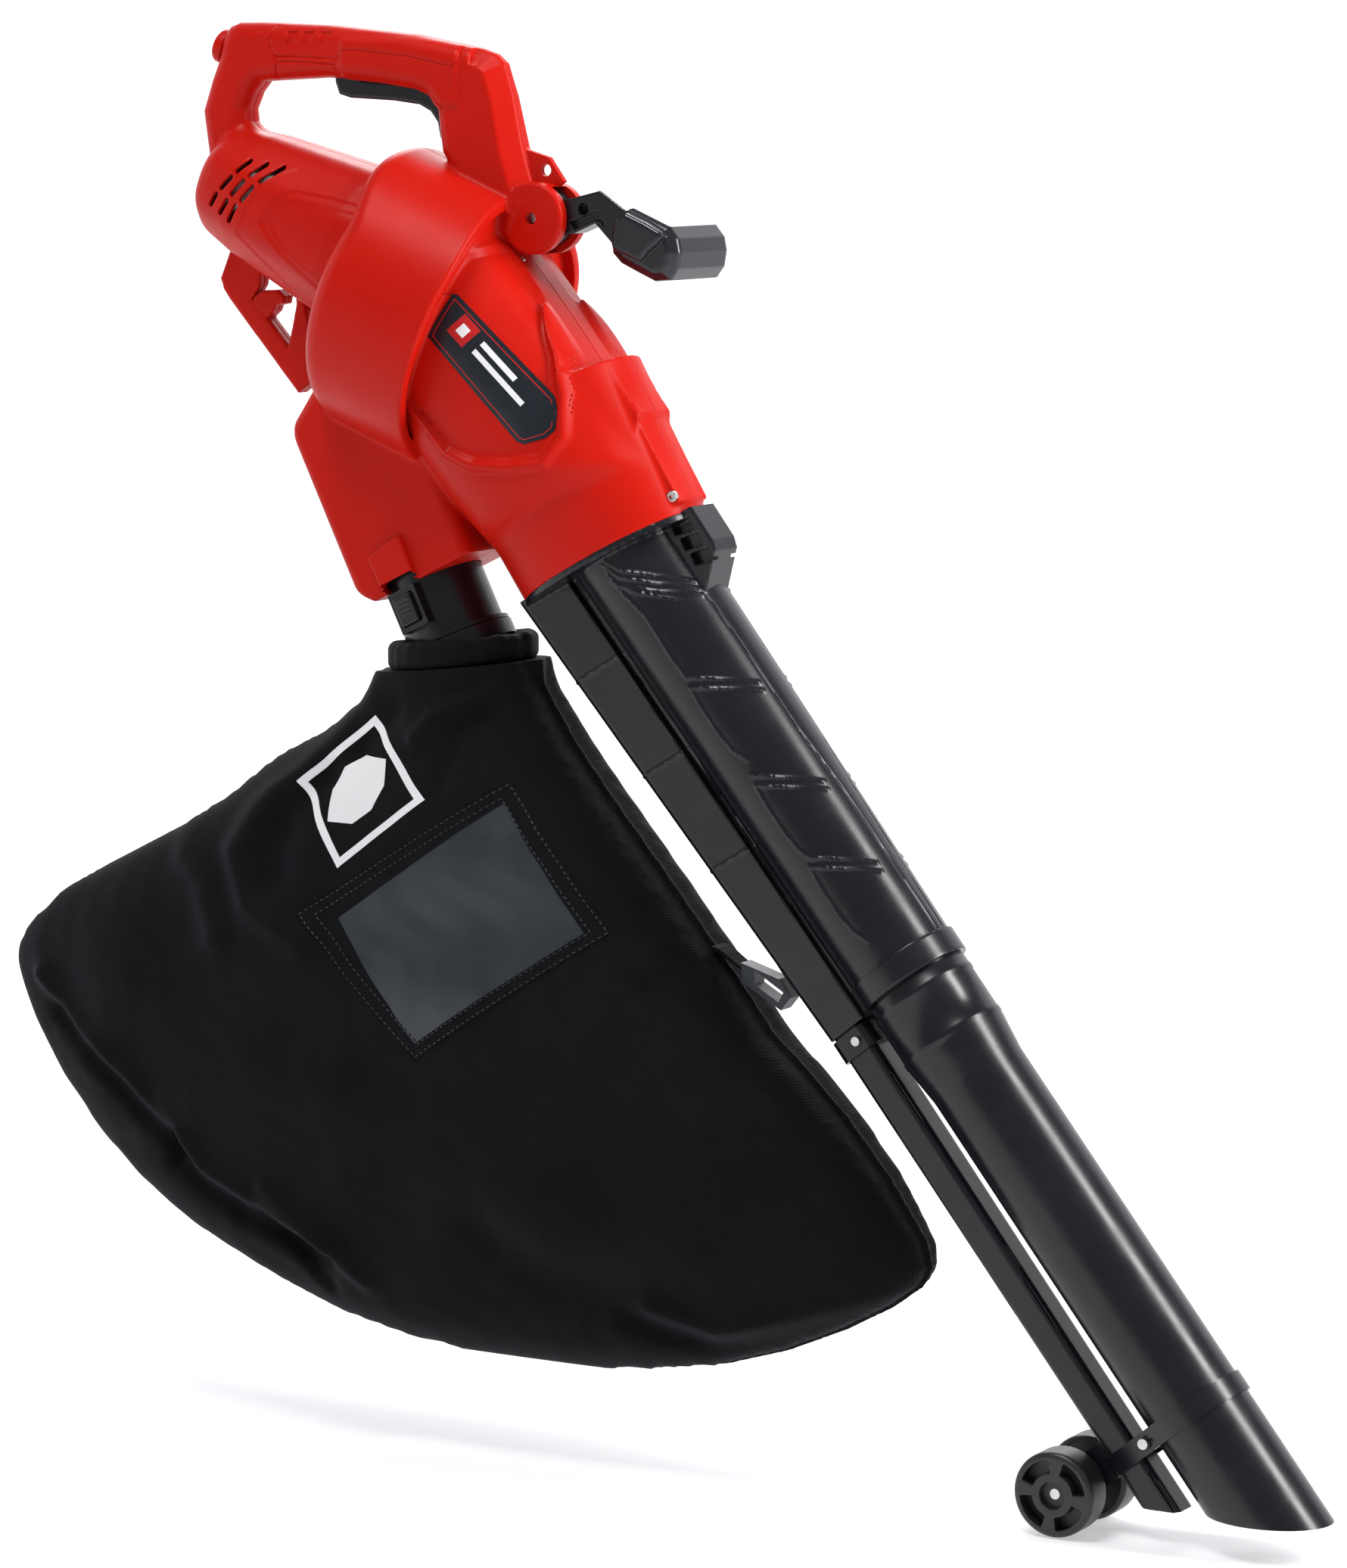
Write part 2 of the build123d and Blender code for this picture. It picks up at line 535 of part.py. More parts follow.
def build_band_and_wheels():
    """Band with its wheel bracket, axle and the two ground wheels."""
    band = Pos(0, 0, 373) * extrude(band_outline(2.2), amount=16)
    foot = [(-74, 358), (-74, 390), (-108, 386), (AXLE_DROP, AXLE_STATION + 11),
            (AXLE_DROP - 11, AXLE_STATION), (AXLE_DROP, AXLE_STATION - 11), (-104, 361)]
    plate = extrude(Plane.XZ * Polygon(*foot, align=None), amount=12, both=True)
    slot = extrude(Plane.XZ * Polygon((-100, 340), (-100, 410), (-140, 410), (-140, 340), align=None),
                   amount=6, both=True)
    bracket = band + (plate - slot)
    bracket -= Pos(0, 0, 340) * extrude(band_outline(0), amount=70)
    axle_line = Pos(AXLE_DROP, 0, AXLE_STATION) * Rot(90, 0, 0)
    bracket -= axle_line * Cylinder(AXLE_RADIUS, 40)
    boss = Pos(-36, 0, 381) * Rot(-90, 0, 0)
    bracket = bracket + boss * rod(5, 30, 33) - boss * rod(1.85, 27, 40)
    save("wheel_bracket", TUBE * bracket)
    save("band_screw", TUBE * boss * (rod(4, 33, 36) + rod(1.8, 28, 33)))
    save("wheel_axle", TUBE * axle_line * Cylinder(AXLE_RADIUS, 2 * WHEEL_OUTER_Y - 18))
    washers, screws = [], []
    for side, name in ((-1, "wheel_right"), (1, "wheel_left")):
        place = TUBE * Pos(AXLE_DROP, 0, AXLE_STATION) * Rot(90 * side, 0, 0)
        save(name, place * wheel_form())
        washers.append(place * ring(2.2, 7, 34.3, 35.5))
        screws.append(place * (rod(4, 35.5, 38) + rod(2.2, 34, 35.5)))
    save("wheel_washers", *washers)
    save("wheel_screws", *screws)


def wheel_form():
    """Ground wheel: dished face with a hub recess and four arc windows."""
    bore = AXLE_RADIUS + RUNNING_GAP
    profile = [(bore, WHEEL_INNER_Y), (WHEEL_RADIUS - 3, WHEEL_INNER_Y), (WHEEL_RADIUS, WHEEL_INNER_Y + 3),
               (WHEEL_RADIUS, WHEEL_OUTER_Y - 5), (WHEEL_RADIUS - 4, WHEEL_OUTER_Y),
               (11, WHEEL_OUTER_Y - 1), (11, 33.8), (bore, 33.8)]
    wheel = turned(profile)
    window = ring(17, 24, 30, WHEEL_OUTER_Y + 2) & block((0, 40), (-11, 11), (20, 60))
    for quarter in range(4):
        wheel -= Rot(0, 0, 90 * quarter) * window
    return wheel


def build_tube_clip():
    """Clip that ties the lower blow tube to the end of the upper tube."""
    outside = Pos(-64, 0, 2) * extrude(RectangleRounded(36, 38, 9), amount=18)
    inside = Pos(-65.6, 0, 0) * extrude(RectangleRounded(28.6, 30.6, 6), amount=30)
    clip = outside - inside - rod(42, 0, 40)
    save("tube_clip", TUBE * largest(clip))
    save("clip_screw", TUBE * Pos(-60, 0, 11) * Rot(-90, 0, 0) * rod(3.5, 19, 21.5))


# Bag -------------------------------------------------------------------------------------------------

def build_spigot():
    """Round outlet that the bag's ring plugs onto, with its latch."""
    tube = ring(SPIGOT_RADIUS - 3, SPIGOT_RADIUS, -14, SPIGOT_LENGTH)
    tube += ring(SPIGOT_RADIUS, SPIGOT_RADIUS + 4, 46, 49)
    guide = block((-16, 10), (36, 48), (2, 35))
    pocket = block((-12, 6), (39.2, 60), (6, 31))
    save("bag_spigot", SPIGOT * (tube + guide - rod(SPIGOT_RADIUS - 3, -30, 100) - pocket))
    button = block((-11.4, 5.4), (43.6, 51.6), (6.6, 30.4))
    save("latch_button", SPIGOT * fillet(button.edges().filter_by(Axis.Y), 0.8))
    coil = Pos(-3, 41.4, 18.5) * Rot(90, 0, 0) * (Cylinder(3, 4.2) - Cylinder(1.8, 6))
    save("latch_spring", SPIGOT * coil)
    save("bag_ring", SPIGOT * ring(SPIGOT_RADIUS + 0.1, SPIGOT_RADIUS + 5, 50, 62))


def bag_form(inset):
    """Pillow-shaped bag: the outline shrinks towards both faces."""
    centre_x = sum(x for x, z in BAG_OUTLINE) / len(BAG_OUTLINE)
    centre_z = sum(z for x, z in BAG_OUTLINE) / len(BAG_OUTLINE)
    sections = []
    for reach, scale in ((-1, 0.5), (-0.8, 0.76), (-0.4, 0.94), (0, 1), (0.4, 0.94), (0.8, 0.76), (1, 0.5)):
        size = scale - inset / 180
        points = [(centre_x + size * (x - centre_x), centre_z + size * (z - centre_z))
                  for x, z in BAG_OUTLINE]
        face = Plane.XZ * Polygon(*points, align=None)
        sections.append(Pos(0, reach * (BAG_HALF_THICKNESS - inset), 0) * face)
    return loft(sections, ruled=True)


def build_bag():
    """Cloth bag, its hem, zip, window and strap."""
    neck_low = NECK_TOP_Z - 95
    neck = Pos(NECK_X, 0, 0) * rod(NECK_RADIUS, neck_low, NECK_TOP_Z)
    neck_hollow = Pos(NECK_X, 0, 0) * rod(NECK_RADIUS - BAG_WALL, neck_low - 10, NECK_TOP_Z + 1)
    save("bag_body", largest(bag_form(0) + neck - bag_form(BAG_WALL) - neck_hollow))
    save("bag_hem", Pos(NECK_X, 0, 0) * ring(NECK_RADIUS + 0.2, NECK_RADIUS + 3, NECK_TOP_Z - 22, NECK_TOP_Z))
    window = [(214, -576), (284, -664), (148, -756), (78, -668)]
    save("bag_window", side_slab(window, 0.8, y=-BAG_HALF_THICKNESS - 0.5))
    save("bag_strap", side_slab([(344, -674), (347, -680), (366, -694), (369, -688)], 20))
    hook = side_slab([(371, -688), (372, -703), (406, -722), (414, -712), (404, -698)], 16)
    save("strap_hook", hook - side_slab([(383, -693), (383, -704), (404, -716), (408, -708)], 30))
    lug = side_slab([(398, -685), (424, -672), (444, -701), (414, -706)], 8)
    lug -= TUBE * blow_form(0)
    save("hook_lug", largest(lug))


build_housing()
build_badge()
build_cord_gland()
build_trigger()
build_controls()
build_motor()
build_impeller()
build_diverter()
build_aux_handle()
build_upper_tube()
build_lower_tubes()
build_band_and_wheels()
build_tube_clip()
build_spigot()
build_bag()
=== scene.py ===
import json
from math import cos, pi, radians, sin

import bpy
import numpy as np
from mathutils import Matrix, Vector
from mathutils.geometry import delaunay_2d_cdt


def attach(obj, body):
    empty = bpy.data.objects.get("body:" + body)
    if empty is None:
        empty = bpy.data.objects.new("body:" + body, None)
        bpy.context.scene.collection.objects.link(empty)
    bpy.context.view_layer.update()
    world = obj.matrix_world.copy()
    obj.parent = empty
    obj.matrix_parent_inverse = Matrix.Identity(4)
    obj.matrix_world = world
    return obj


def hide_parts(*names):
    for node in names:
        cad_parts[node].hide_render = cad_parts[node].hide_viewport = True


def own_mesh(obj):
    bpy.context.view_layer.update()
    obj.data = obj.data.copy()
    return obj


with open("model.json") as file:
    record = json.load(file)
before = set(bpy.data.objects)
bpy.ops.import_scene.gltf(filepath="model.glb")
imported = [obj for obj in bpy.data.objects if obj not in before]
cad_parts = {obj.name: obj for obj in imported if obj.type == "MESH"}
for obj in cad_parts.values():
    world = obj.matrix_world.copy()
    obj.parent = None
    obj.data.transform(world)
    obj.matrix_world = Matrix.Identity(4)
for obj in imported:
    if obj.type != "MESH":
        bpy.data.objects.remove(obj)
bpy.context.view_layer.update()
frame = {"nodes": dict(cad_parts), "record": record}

NODES = frame["nodes"]
MM = 0.001

# Camera, lights and floor ------------------------------------------------------------------------

AZIMUTH, ELEVATION = radians(30.0), radians(7.5)
TARGET = Vector((0.3072, 0.0, -0.5557))
DISTANCE = 4.2
LENS = 125.8
FLOOR_Z = -1.0925


def add_camera():
    back = Vector((sin(AZIMUTH) * cos(ELEVATION), -cos(AZIMUTH) * cos(ELEVATION), sin(ELEVATION)))
    right = Vector((cos(AZIMUTH), sin(AZIMUTH), 0))
    up = back.cross(right)
    camera = bpy.data.objects.new("camera", bpy.data.cameras.new("camera"))
    camera.data.lens = LENS
    camera.data.sensor_width = 36
    camera.data.clip_end = 60
    turn = Matrix((right, up, back)).transposed().to_4x4()
    camera.matrix_world = Matrix.Translation(TARGET + back * DISTANCE) @ turn
    bpy.context.scene.collection.objects.link(camera)
    bpy.context.scene.camera = camera


def add_light(name, place, aim, size, power):
    data = bpy.data.lights.new(name, "AREA")
    data.shape = "RECTANGLE"
    data.size, data.size_y = size
    data.energy = power
    lamp = bpy.data.objects.new(name, data)
    lamp.location = place
    lamp.rotation_euler = (Vector(aim) - Vector(place)).to_track_quat("-Z", "Y").to_euler()
    bpy.context.scene.collection.objects.link(lamp)


def link(name, mesh):
    piece = bpy.data.objects.new(name, mesh)
    bpy.context.scene.collection.objects.link(piece)
    return piece


def mesh_piece(name, vertices, faces, sharp=None):
    """Smooth-shaded piece from points in millimetres, with edges above an angle kept sharp."""
    mesh = bpy.data.meshes.new(name)
    mesh.from_pydata((np.asarray(vertices) * MM).tolist(), [], faces)
    mesh.shade_smooth()
    if sharp:
        mesh.set_sharp_from_angle(angle=radians(sharp))
    return link(name, mesh)


def add_studio():
    world = bpy.data.worlds.new("studio")
    bpy.context.scene.world = world
    world.use_nodes = True
    background = world.node_tree.nodes["Background"]
    set_inputs(background, {"Color": (0.96, 0.97, 1.0, 1), "Strength": 0.3})
    add_light("key", (0.2, -1.5, 3.2), (0.25, 0, -0.4), (1.6, 1.2), 98)
    add_light("side", (3.3, 0.4, 0.9), (0.3, 0, -0.5), (0.7, 2.6), 130)
    add_light("fill", (-3.0, -1.2, 0.4), (0.2, 0, -0.6), (0.7, 2.6), 13)
    add_light("rim", (-1.0, 3.0, 1.6), (0.3, 0, -0.4), (2.4, 1.4), 50)
    mesh = bpy.data.meshes.new("floor")
    steps = 24
    path = [(-14.0, 0.0), (9.0, 0.0)]
    angles = [pi / 2 * k / steps for k in range(1, steps + 1)]
    path += [(9 + 5 * sin(a), 5 * (1 - cos(a))) for a in angles]
    path.append((14.0, 20.0))
    away = Vector((-sin(AZIMUTH), cos(AZIMUTH), 0))
    across = Vector((cos(AZIMUTH), sin(AZIMUTH), 0))
    base = Vector((0.3, 0, FLOOR_Z))
    vertices, faces = [], []
    for reach, height in path:
        for side in (-24, 24):
            vertices.append(base + away * reach + across * side + Vector((0, 0, height)))
    for k in range(len(path) - 1):
        faces.append((2 * k, 2 * k + 1, 2 * k + 3, 2 * k + 2))
    mesh.from_pydata(vertices, [], faces)
    mesh.shade_smooth()
    floor = link("floor", mesh)
    # Painted glow: the floor paper emits light of its own, rising from 0.46 near the middle of the scene to
    # 0.84 far off, so the backdrop reads white.
    material, shader, tree = new_material("floor_paper_painted_glow")
    set_inputs(shader, {"Base Color": (0.62, 0.625, 0.633, 1), "Roughness": 0.75, "Specular IOR Level": 0.2,
                        "Emission Color": (0.97, 0.98, 1.0, 1)})
    place = node(tree, "ShaderNodeTexCoord")
    reach = node(tree, "ShaderNodeVectorMath", operation="LENGTH")
    tree.links.new(place.outputs["Object"], reach.inputs[0])
    map_range(tree, reach.outputs["Value"], shader.inputs["Emission Strength"], (2.0, 9.0), (0.46, 0.84))
    mesh.materials.append(material)


# Materials ---------------------------------------------------------------------------------------

def set_inputs(made, values):
    for label, value in values.items():
        made.inputs[label].default_value = value


def new_material(name):
    material = bpy.data.materials.new(name)
    material.use_nodes = True
    shader = material.node_tree.nodes["Principled BSDF"]
    return material, shader, material.node_tree


def node(tree, kind, **settings):
    made = tree.nodes.new(kind)
    for key, value in settings.items():
        if key in made.inputs:
            made.inputs[key].default_value = value
        else:
            setattr(made, key, value)
    return made


def ramp(tree, source, stops):
    made = node(tree, "ShaderNodeValToRGB")
    elements = made.color_ramp.elements
    while len(elements) < len(stops):
        elements.new(0.5)
    for element, (place, colour) in zip(elements, stops):
        element.position = place
        element.color = colour if len(colour) == 4 else (*colour, 1)
    tree.links.new(source, made.inputs["Fac"])
    return made.outputs["Color"]


def grain(tree, scale, detail=3.0, rough=0.6):
    """Noise in object coordinates, in cycles a metre."""
    place = node(tree, "ShaderNodeTexCoord")
    made = node(tree, "ShaderNodeTexNoise", Scale=scale, Detail=detail, Roughness=rough)
    tree.links.new(place.outputs["Object"], made.inputs["Vector"])
    return made.outputs["Fac"]


def map_range(tree, source, target, low_high, to_low_high):
    """Stretches a value from one range to another on its way to a socket."""
    made = node(tree, "ShaderNodeMapRange")
    tree.links.new(source, made.inputs["Value"])
    set_inputs(made, dict(zip(("From Min", "From Max", "To Min", "To Max"), (*low_high, *to_low_high))))
    tree.links.new(made.outputs["Result"], target)


def arithmetic(tree, operation, *values):
    """Output of a math node whose inputs are numbers or other nodes' outputs."""
    made = node(tree, "ShaderNodeMath", operation=operation)
    for socket, value in zip(made.inputs, values):
        if isinstance(value, float):
            socket.default_value = value
        else:
            tree.links.new(value, socket)
    return made.outputs[0]


def add_bump(tree, shader, height, distance, strength=1.0, below=None):
    bump = node(tree, "ShaderNodeBump", Strength=strength, Distance=distance)
    tree.links.new(height, bump.inputs["Height"])
    if below is not None:
        tree.links.new(below, bump.inputs["Normal"])
    tree.links.new(bump.outputs["Normal"], shader.inputs["Normal"])
    return bump.outputs["Normal"]


def plastic(name, dark, light, rough=(0.3, 0.4), texture=1400.0, depth=0.00004, specular=0.5):
    """Moulded plastic: slow colour drift, patchy gloss and a fine spark-eroded texture."""
    material, shader, tree = new_material(name)
    drift = grain(tree, 9.0, 2.0)
    tree.links.new(ramp(tree, drift, [(0.3, dark), (0.7, light)]), shader.inputs["Base Color"])
    map_range(tree, grain(tree, 38.0, 4.0), shader.inputs["Roughness"], (0.3, 0.7), rough)
    shader.inputs["Specular IOR Level"].default_value = specular
    add_bump(tree, shader, grain(tree, texture, 2.0), depth)
    return material


def metal(name, colour, rough, scratch=400.0):
    material, shader, tree = new_material(name)
    shader.inputs["Metallic"].default_value = 1.0
    dark = tuple(c * 0.8 for c in colour)
    tree.links.new(ramp(tree, grain(tree, 60.0), [(0.3, dark), (0.7, colour)]), shader.inputs["Base Color"])
    map_range(tree, grain(tree, scratch, 5.0), shader.inputs["Roughness"], (0, 1), (rough * 0.7, rough * 1.3))
    add_bump(tree, shader, grain(tree, scratch, 4.0), 0.00003)
    return material


def cloth(name, dark, light, thread=0.0011):
    """Plain weave from two crossed sine waves, with a slow fade and a soft sheen."""
    material, shader, tree = new_material(name)
    place = node(tree, "ShaderNodeTexCoord")
    turn = node(tree, "ShaderNodeMapping")
    turn.inputs["Rotation"].default_value = (0, radians(33), 0)
    tree.links.new(place.outputs["Object"], turn.inputs["Vector"])
    split = node(tree, "ShaderNodeSeparateXYZ")
    tree.links.new(turn.outputs["Vector"], split.inputs["Vector"])

    def wave(axis):
        scaled = arithmetic(tree, "MULTIPLY", split.outputs[axis], 2 * pi / (thread * 2))
        return arithmetic(tree, "SINE", scaled)

    weave = arithmetic(tree, "MULTIPLY", wave("X"), wave("Z"))
    mixed = arithmetic(tree, "MULTIPLY_ADD", weave, 0.36, grain(tree, 16.0, 5.0))
    tree.links.new(ramp(tree, mixed, [(0.25, dark), (0.75, light)]), shader.inputs["Base Color"])
    set_inputs(shader, {"Roughness": 0.78, "Specular IOR Level": 0.1, "Sheen Weight": 0.05,
                        "Sheen Roughness": 0.45, "Sheen Tint": (0.45, 0.5, 0.6, 1)})
    first = add_bump(tree, shader, weave, 0.00025, 0.6)
    add_bump(tree, shader, grain(tree, 90.0, 3.0), 0.0006, 0.5, below=first)
    return material


MATERIALS = {
    "housing_red": plastic("abs_red", (0.45, 0.006, 0.0018), (0.5, 0.0078, 0.0022), (0.34, 0.42), 1500,
                           0.00003, 0.12),
    "black_plastic": plastic("pp_black", (0.004, 0.0044, 0.006), (0.0065, 0.0072, 0.0095), (0.22, 0.3), 900,
                             0.00003, 0.42),
    "grip_gloss": plastic("grip_gloss", (0.007, 0.008, 0.0105), (0.011, 0.0122, 0.0155), (0.2, 0.27), 700,
                          0.00002),
    "print_red": plastic("print_red", (0.42, 0.005, 0.006), (0.46, 0.006, 0.007), (0.3, 0.4), 600, 0.00001),
    "print_white": plastic("print_white", (0.7, 0.7, 0.71), (0.78, 0.78, 0.79), (0.45, 0.55), 500, 0.00003),
    "thread": plastic("thread", (0.006, 0.0065, 0.008), (0.02, 0.021, 0.024), (0.6, 0.7), 2500, 0.0001),
    "grey_plastic": plastic("pp_grey", (0.02, 0.023, 0.028), (0.03, 0.034, 0.04), (0.42, 0.55), 900, 0.00008),
    "wheel_plastic": plastic("pp_wheel", (0.007, 0.0075, 0.009), (0.012, 0.013, 0.015), (0.34, 0.46), 700,
                             0.00006),
    "badge": plastic("film", (0.006, 0.008, 0.012), (0.009, 0.012, 0.017), (0.22, 0.3), 600, 0.00001),
    "rubber": plastic("rubber", (0.012, 0.012, 0.012), (0.02, 0.02, 0.02), (0.6, 0.75), 500, 0.0001),
    "steel": metal("zinc_steel", (0.62, 0.62, 0.6), 0.28),
    "laminated_steel": metal("laminations", (0.3, 0.3, 0.31), 0.45),
    "copper": metal("copper", (0.7, 0.28, 0.12), 0.3),
    "carbon": plastic("carbon", (0.02, 0.02, 0.02), (0.035, 0.035, 0.035), (0.5, 0.6)),
    "aluminium": metal("aluminium", (0.4, 0.4, 0.41), 0.4),
    "circuit_board": plastic("board", (0.015, 0.1, 0.035), (0.02, 0.14, 0.05), (0.3, 0.4)),
    "bag_cloth": cloth("polyester", (0.0011, 0.0012, 0.0016), (0.0044, 0.0047, 0.006)),
    "window_film": plastic("vinyl", (0.012, 0.0155, 0.021), (0.017, 0.021, 0.0275), (0.34, 0.5), 300,
                           0.00008),
}
SLOTS = {row["node"]: row["material_slot"] for row in frame["record"]["subparts"]}


def settle(piece, slot, stands_for=None, body="machine", material=None):
    """Gives a piece the material of its slot (or a named material), hides the CAD node it stands for and
    hangs it on its body.
    """
    piece.data.materials.clear()
    piece.data.materials.append(MATERIALS[material or slot])
    if stands_for:
        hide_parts(stands_for)
    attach(piece, body)


# Distance fields, in millimetres ---------------------------------------------------------------------

def smooth_min(a, b, k):
    h = np.clip(0.5 + 0.5 * (b - a) / k, 0, 1)
    return b + (a - b) * h - k * h * (1 - h)


def smooth_max(a, b, k):
    return -smooth_min(-a, -b, k)


def meet(a, b, r):
    """Both distances at once, with the edge between them rounded."""
    inside = np.minimum(np.maximum(a + r, b + r), 0)
    return inside + np.hypot(np.maximum(a + r, 0), np.maximum(b + r, 0)) - r


def soft_step(value, width):
    t = np.clip(0.5 - value / width, 0, 1)
    return t * t * (3 - 2 * t)


def slope_frame(x0, z0, degrees):
    """Plane coordinates of a sloping axis: (across, up and forward; along, down and forward)."""
    s, c = sin(radians(degrees)), cos(radians(degrees))

    def to(x, z):
        return (x - x0) * s + (z - z0) * c, (x - x0) * c - (z - z0) * s

    return to


def from_frame(x0, z0, degrees, across, along):
    s, c = sin(radians(degrees)), cos(radians(degrees))
    return x0 + across * s + along * c, z0 + across * c - along * s


def straight_run(x, z, a, b):
    """Squared distance to one straight run, and whether a point is to its left."""
    ex, ez, wx, wz = b[0] - a[0], b[1] - a[1], x - a[0], z - a[1]
    t = np.clip((wx * ex + wz * ez) / (ex * ex + ez * ez), 0, 1)
    return (wx - ex * t) ** 2 + (wz - ez * t) ** 2, ex * wz > ez * wx


def polygon(points):
    """Signed distance to a closed outline in a plane."""
    def distance(x, z):
        best, sign = 1e12, 1.0
        for a, b in zip(points, points[1:] + points[:1]):
            squared, left = straight_run(x, z, a, b)
            best = np.minimum(best, squared)
            above, below = z >= a[1], z < b[1]
            sign = np.where((above & below & left) | ~(above | below | left), -sign, sign)
        return sign * np.sqrt(best)
    return distance


def path(points):
    """Distance to an open line of straight runs in a plane."""
    def distance(x, z):
        best = 1e12
        for a, b in zip(points, points[1:]):
            best = np.minimum(best, straight_run(x, z, a, b)[0])
        return np.sqrt(best)
    return distance


class Chart:
    """A plane function sampled on a fine grid and read back bilinearly."""

    def __init__(self, function, low, high, step=0.5):
        xs, zs = (np.arange(a, b + step, step) for a, b in zip(low, high))
        self.low, self.step = low, step
        self.values = np.asarray(function(xs[:, None], zs[None, :]), np.float32)

    def __call__(self, x, z):
        u = np.clip((x - self.low[0]) / self.step, 0, self.values.shape[0] - 1.001)
        w = np.clip((z - self.low[1]) / self.step, 0, self.values.shape[1] - 1.001)
        i, j = u.astype(int), w.astype(int)
        u, w = u - i, w - j
        v = self.values
        return ((v[i, j] * (1 - u) + v[i + 1, j] * u) * (1 - w)
                + (v[i, j + 1] * (1 - u) + v[i + 1, j + 1] * u) * w)


def contour(field, xs, ys, zs):
    """Dual-contoured surface of a field: vertices on its edges and corners, and quads."""
    values = field(xs[:, None, None], ys[None, :, None], zs[None, None, :])
    values = np.ascontiguousarray(np.broadcast_to(values, (len(xs), len(ys), len(zs))))
    shape = np.array(values.shape)
    grids, points, homes, turns = (xs, ys, zs), [], [], []
    for axis in range(3):
        a = np.take(values, range(shape[axis] - 1), axis)
        b = np.take(values, range(1, shape[axis]), axis)
        cell = np.argwhere((a < 0) != (b < 0))
        others = [k for k in range(3) if k != axis]
        keep = np.all([(cell[:, k] > 0) & (cell[:, k] < shape[k] - 1) for k in others], axis=0)
        cell = cell[keep]
        va, vb = a[tuple(cell.T)], b[tuple(cell.T)]
        place = np.stack([grids[k][cell[:, k]] for k in range(3)], 1).astype(float)
        along = grids[axis]
        start, span = along[cell[:, axis]], along[cell[:, axis] + 1] - along[cell[:, axis]]
        low, high, v_low, v_high = np.zeros(len(cell)), np.ones(len(cell)), va.copy(), vb.copy()
        for _ in range(2):
            t = low + (high - low) * v_low / (v_low - v_high)
            place[:, axis] = start + span * t
            v = field(*place.T)
            same = (v < 0) == (v_low < 0)
            low, v_low = np.where(same, t, low), np.where(same, v, v_low)
            high, v_high = np.where(same, high, t), np.where(same, v_high, v)
        t = low + (high - low) * v_low / (v_low - v_high)
        place[:, axis] = start + span * t
        points.append(place)
        ring = []
        for du, dv in ((0, 0), (-1, 0), (-1, -1), (0, -1)):
            home = cell.copy()
            home[:, others[0]] += du
            home[:, others[1]] += dv
            ring.append(np.ravel_multi_index(tuple(home.T), tuple(shape)))
        homes.append(np.stack(ring, 1))
        turns.append((va < 0) != (axis == 1))
    points, homes, turns = np.concatenate(points), np.concatenate(homes), np.concatenate(turns)
    h = 0.4
    slope = np.stack([field(*(points + h * e).T) - field(*(points - h * e).T) for e in np.eye(3)], 1)
    slope /= np.maximum(np.linalg.norm(slope, axis=1, keepdims=True), 1e-9)
    cells, index = np.unique(homes, return_inverse=True)
    index = index.reshape(homes.shape)
    count = np.bincount(index.ravel(), minlength=len(cells)).astype(float)
    centre = [np.bincount(index.ravel(), np.repeat(points[:, k], 4), len(cells)) for k in range(3)]
    centre = np.stack(centre, 1)
    centre /= count[:, None]
    square = np.zeros((len(cells), 3, 3))
    right = np.zeros((len(cells), 3))
    for corner in range(4):
        home = index[:, corner]
        offset = (slope * (points - centre[home])).sum(1)
        for p in range(3):
            right[:, p] += np.bincount(home, slope[:, p] * offset, len(cells))
            for q in range(3):
                square[:, p, q] += np.bincount(home, slope[:, p] * slope[:, q], len(cells))
    square += np.eye(3) * 0.12 * count[:, None, None]
    shift = np.linalg.solve(square, right[:, :, None])[:, :, 0]
    corner = np.stack(np.unravel_index(cells, tuple(shape)), 1)
    low = np.stack([grids[k][corner[:, k]] for k in range(3)], 1)
    high = np.stack([grids[k][np.minimum(corner[:, k] + 1, shape[k] - 1)] for k in range(3)], 1)
    slack = 0.1 * (high - low)
    vertices = np.clip(centre + shift, low - slack, high + slack)
    quads = np.where(turns[:, None], index, index[:, ::-1])
    return vertices, quads


def spaced(low, high, step, *fine):
    """Grid lines between two limits, closer together in the fine ranges (from, to, step)."""
    marks = [low]
    while marks[-1] < high:
        here = step
        for start, end, close in fine:
            if start <= marks[-1] < end:
                here = close
        marks.append(marks[-1] + here)
    return np.array(marks)


def add_solid(name, field, grid, slot, stands_for=None, body="machine", sharp=38, frame_at=None,
              material=None):
    """Piece from a field; with a frame, the field's x and z are that frame's across and along."""
    vertices, quads = contour(field, *grid)
    if frame_at:
        x, z = from_frame(*frame_at, vertices[:, 0], vertices[:, 2])
        vertices, quads = np.stack([x, vertices[:, 1], z], 1), quads[:, ::-1]
    settle(mesh_piece(name, vertices, quads.tolist(), sharp), slot, stands_for, body, material)


# Housing -------------------------------------------------------------------------------------------

motor_frame = slope_frame(70.5, -166.5, 22.0)
mouth_frame = slope_frame(255.7, -382.9, 61.5)
TUBE_AT = (517.4, -691.7, 51.7)
tube_frame = slope_frame(*TUBE_AT)
spigot_frame = slope_frame(91.7, -409.5, 64.0)
dial_frame = slope_frame(-96.0, 3.0, 200.0)
PIVOT = (192.5, -125.5)
EYELET = (196.0, -89.0)
EAR_RADIUS = 27.5
WALL = 3.9
MOUTH_HIGH, MOUTH_WIDE, MOUTH_POWER = 82, 56, 2.15
SCROLL_RADIUS, LIP_RADIUS = 112, 104
TRIGGER_SPRING_X = 53
HALF_HANDLE = 17.0
CHART_LOW, CHART_HIGH = (-135.0, -440.0), (345.0, 45.0)

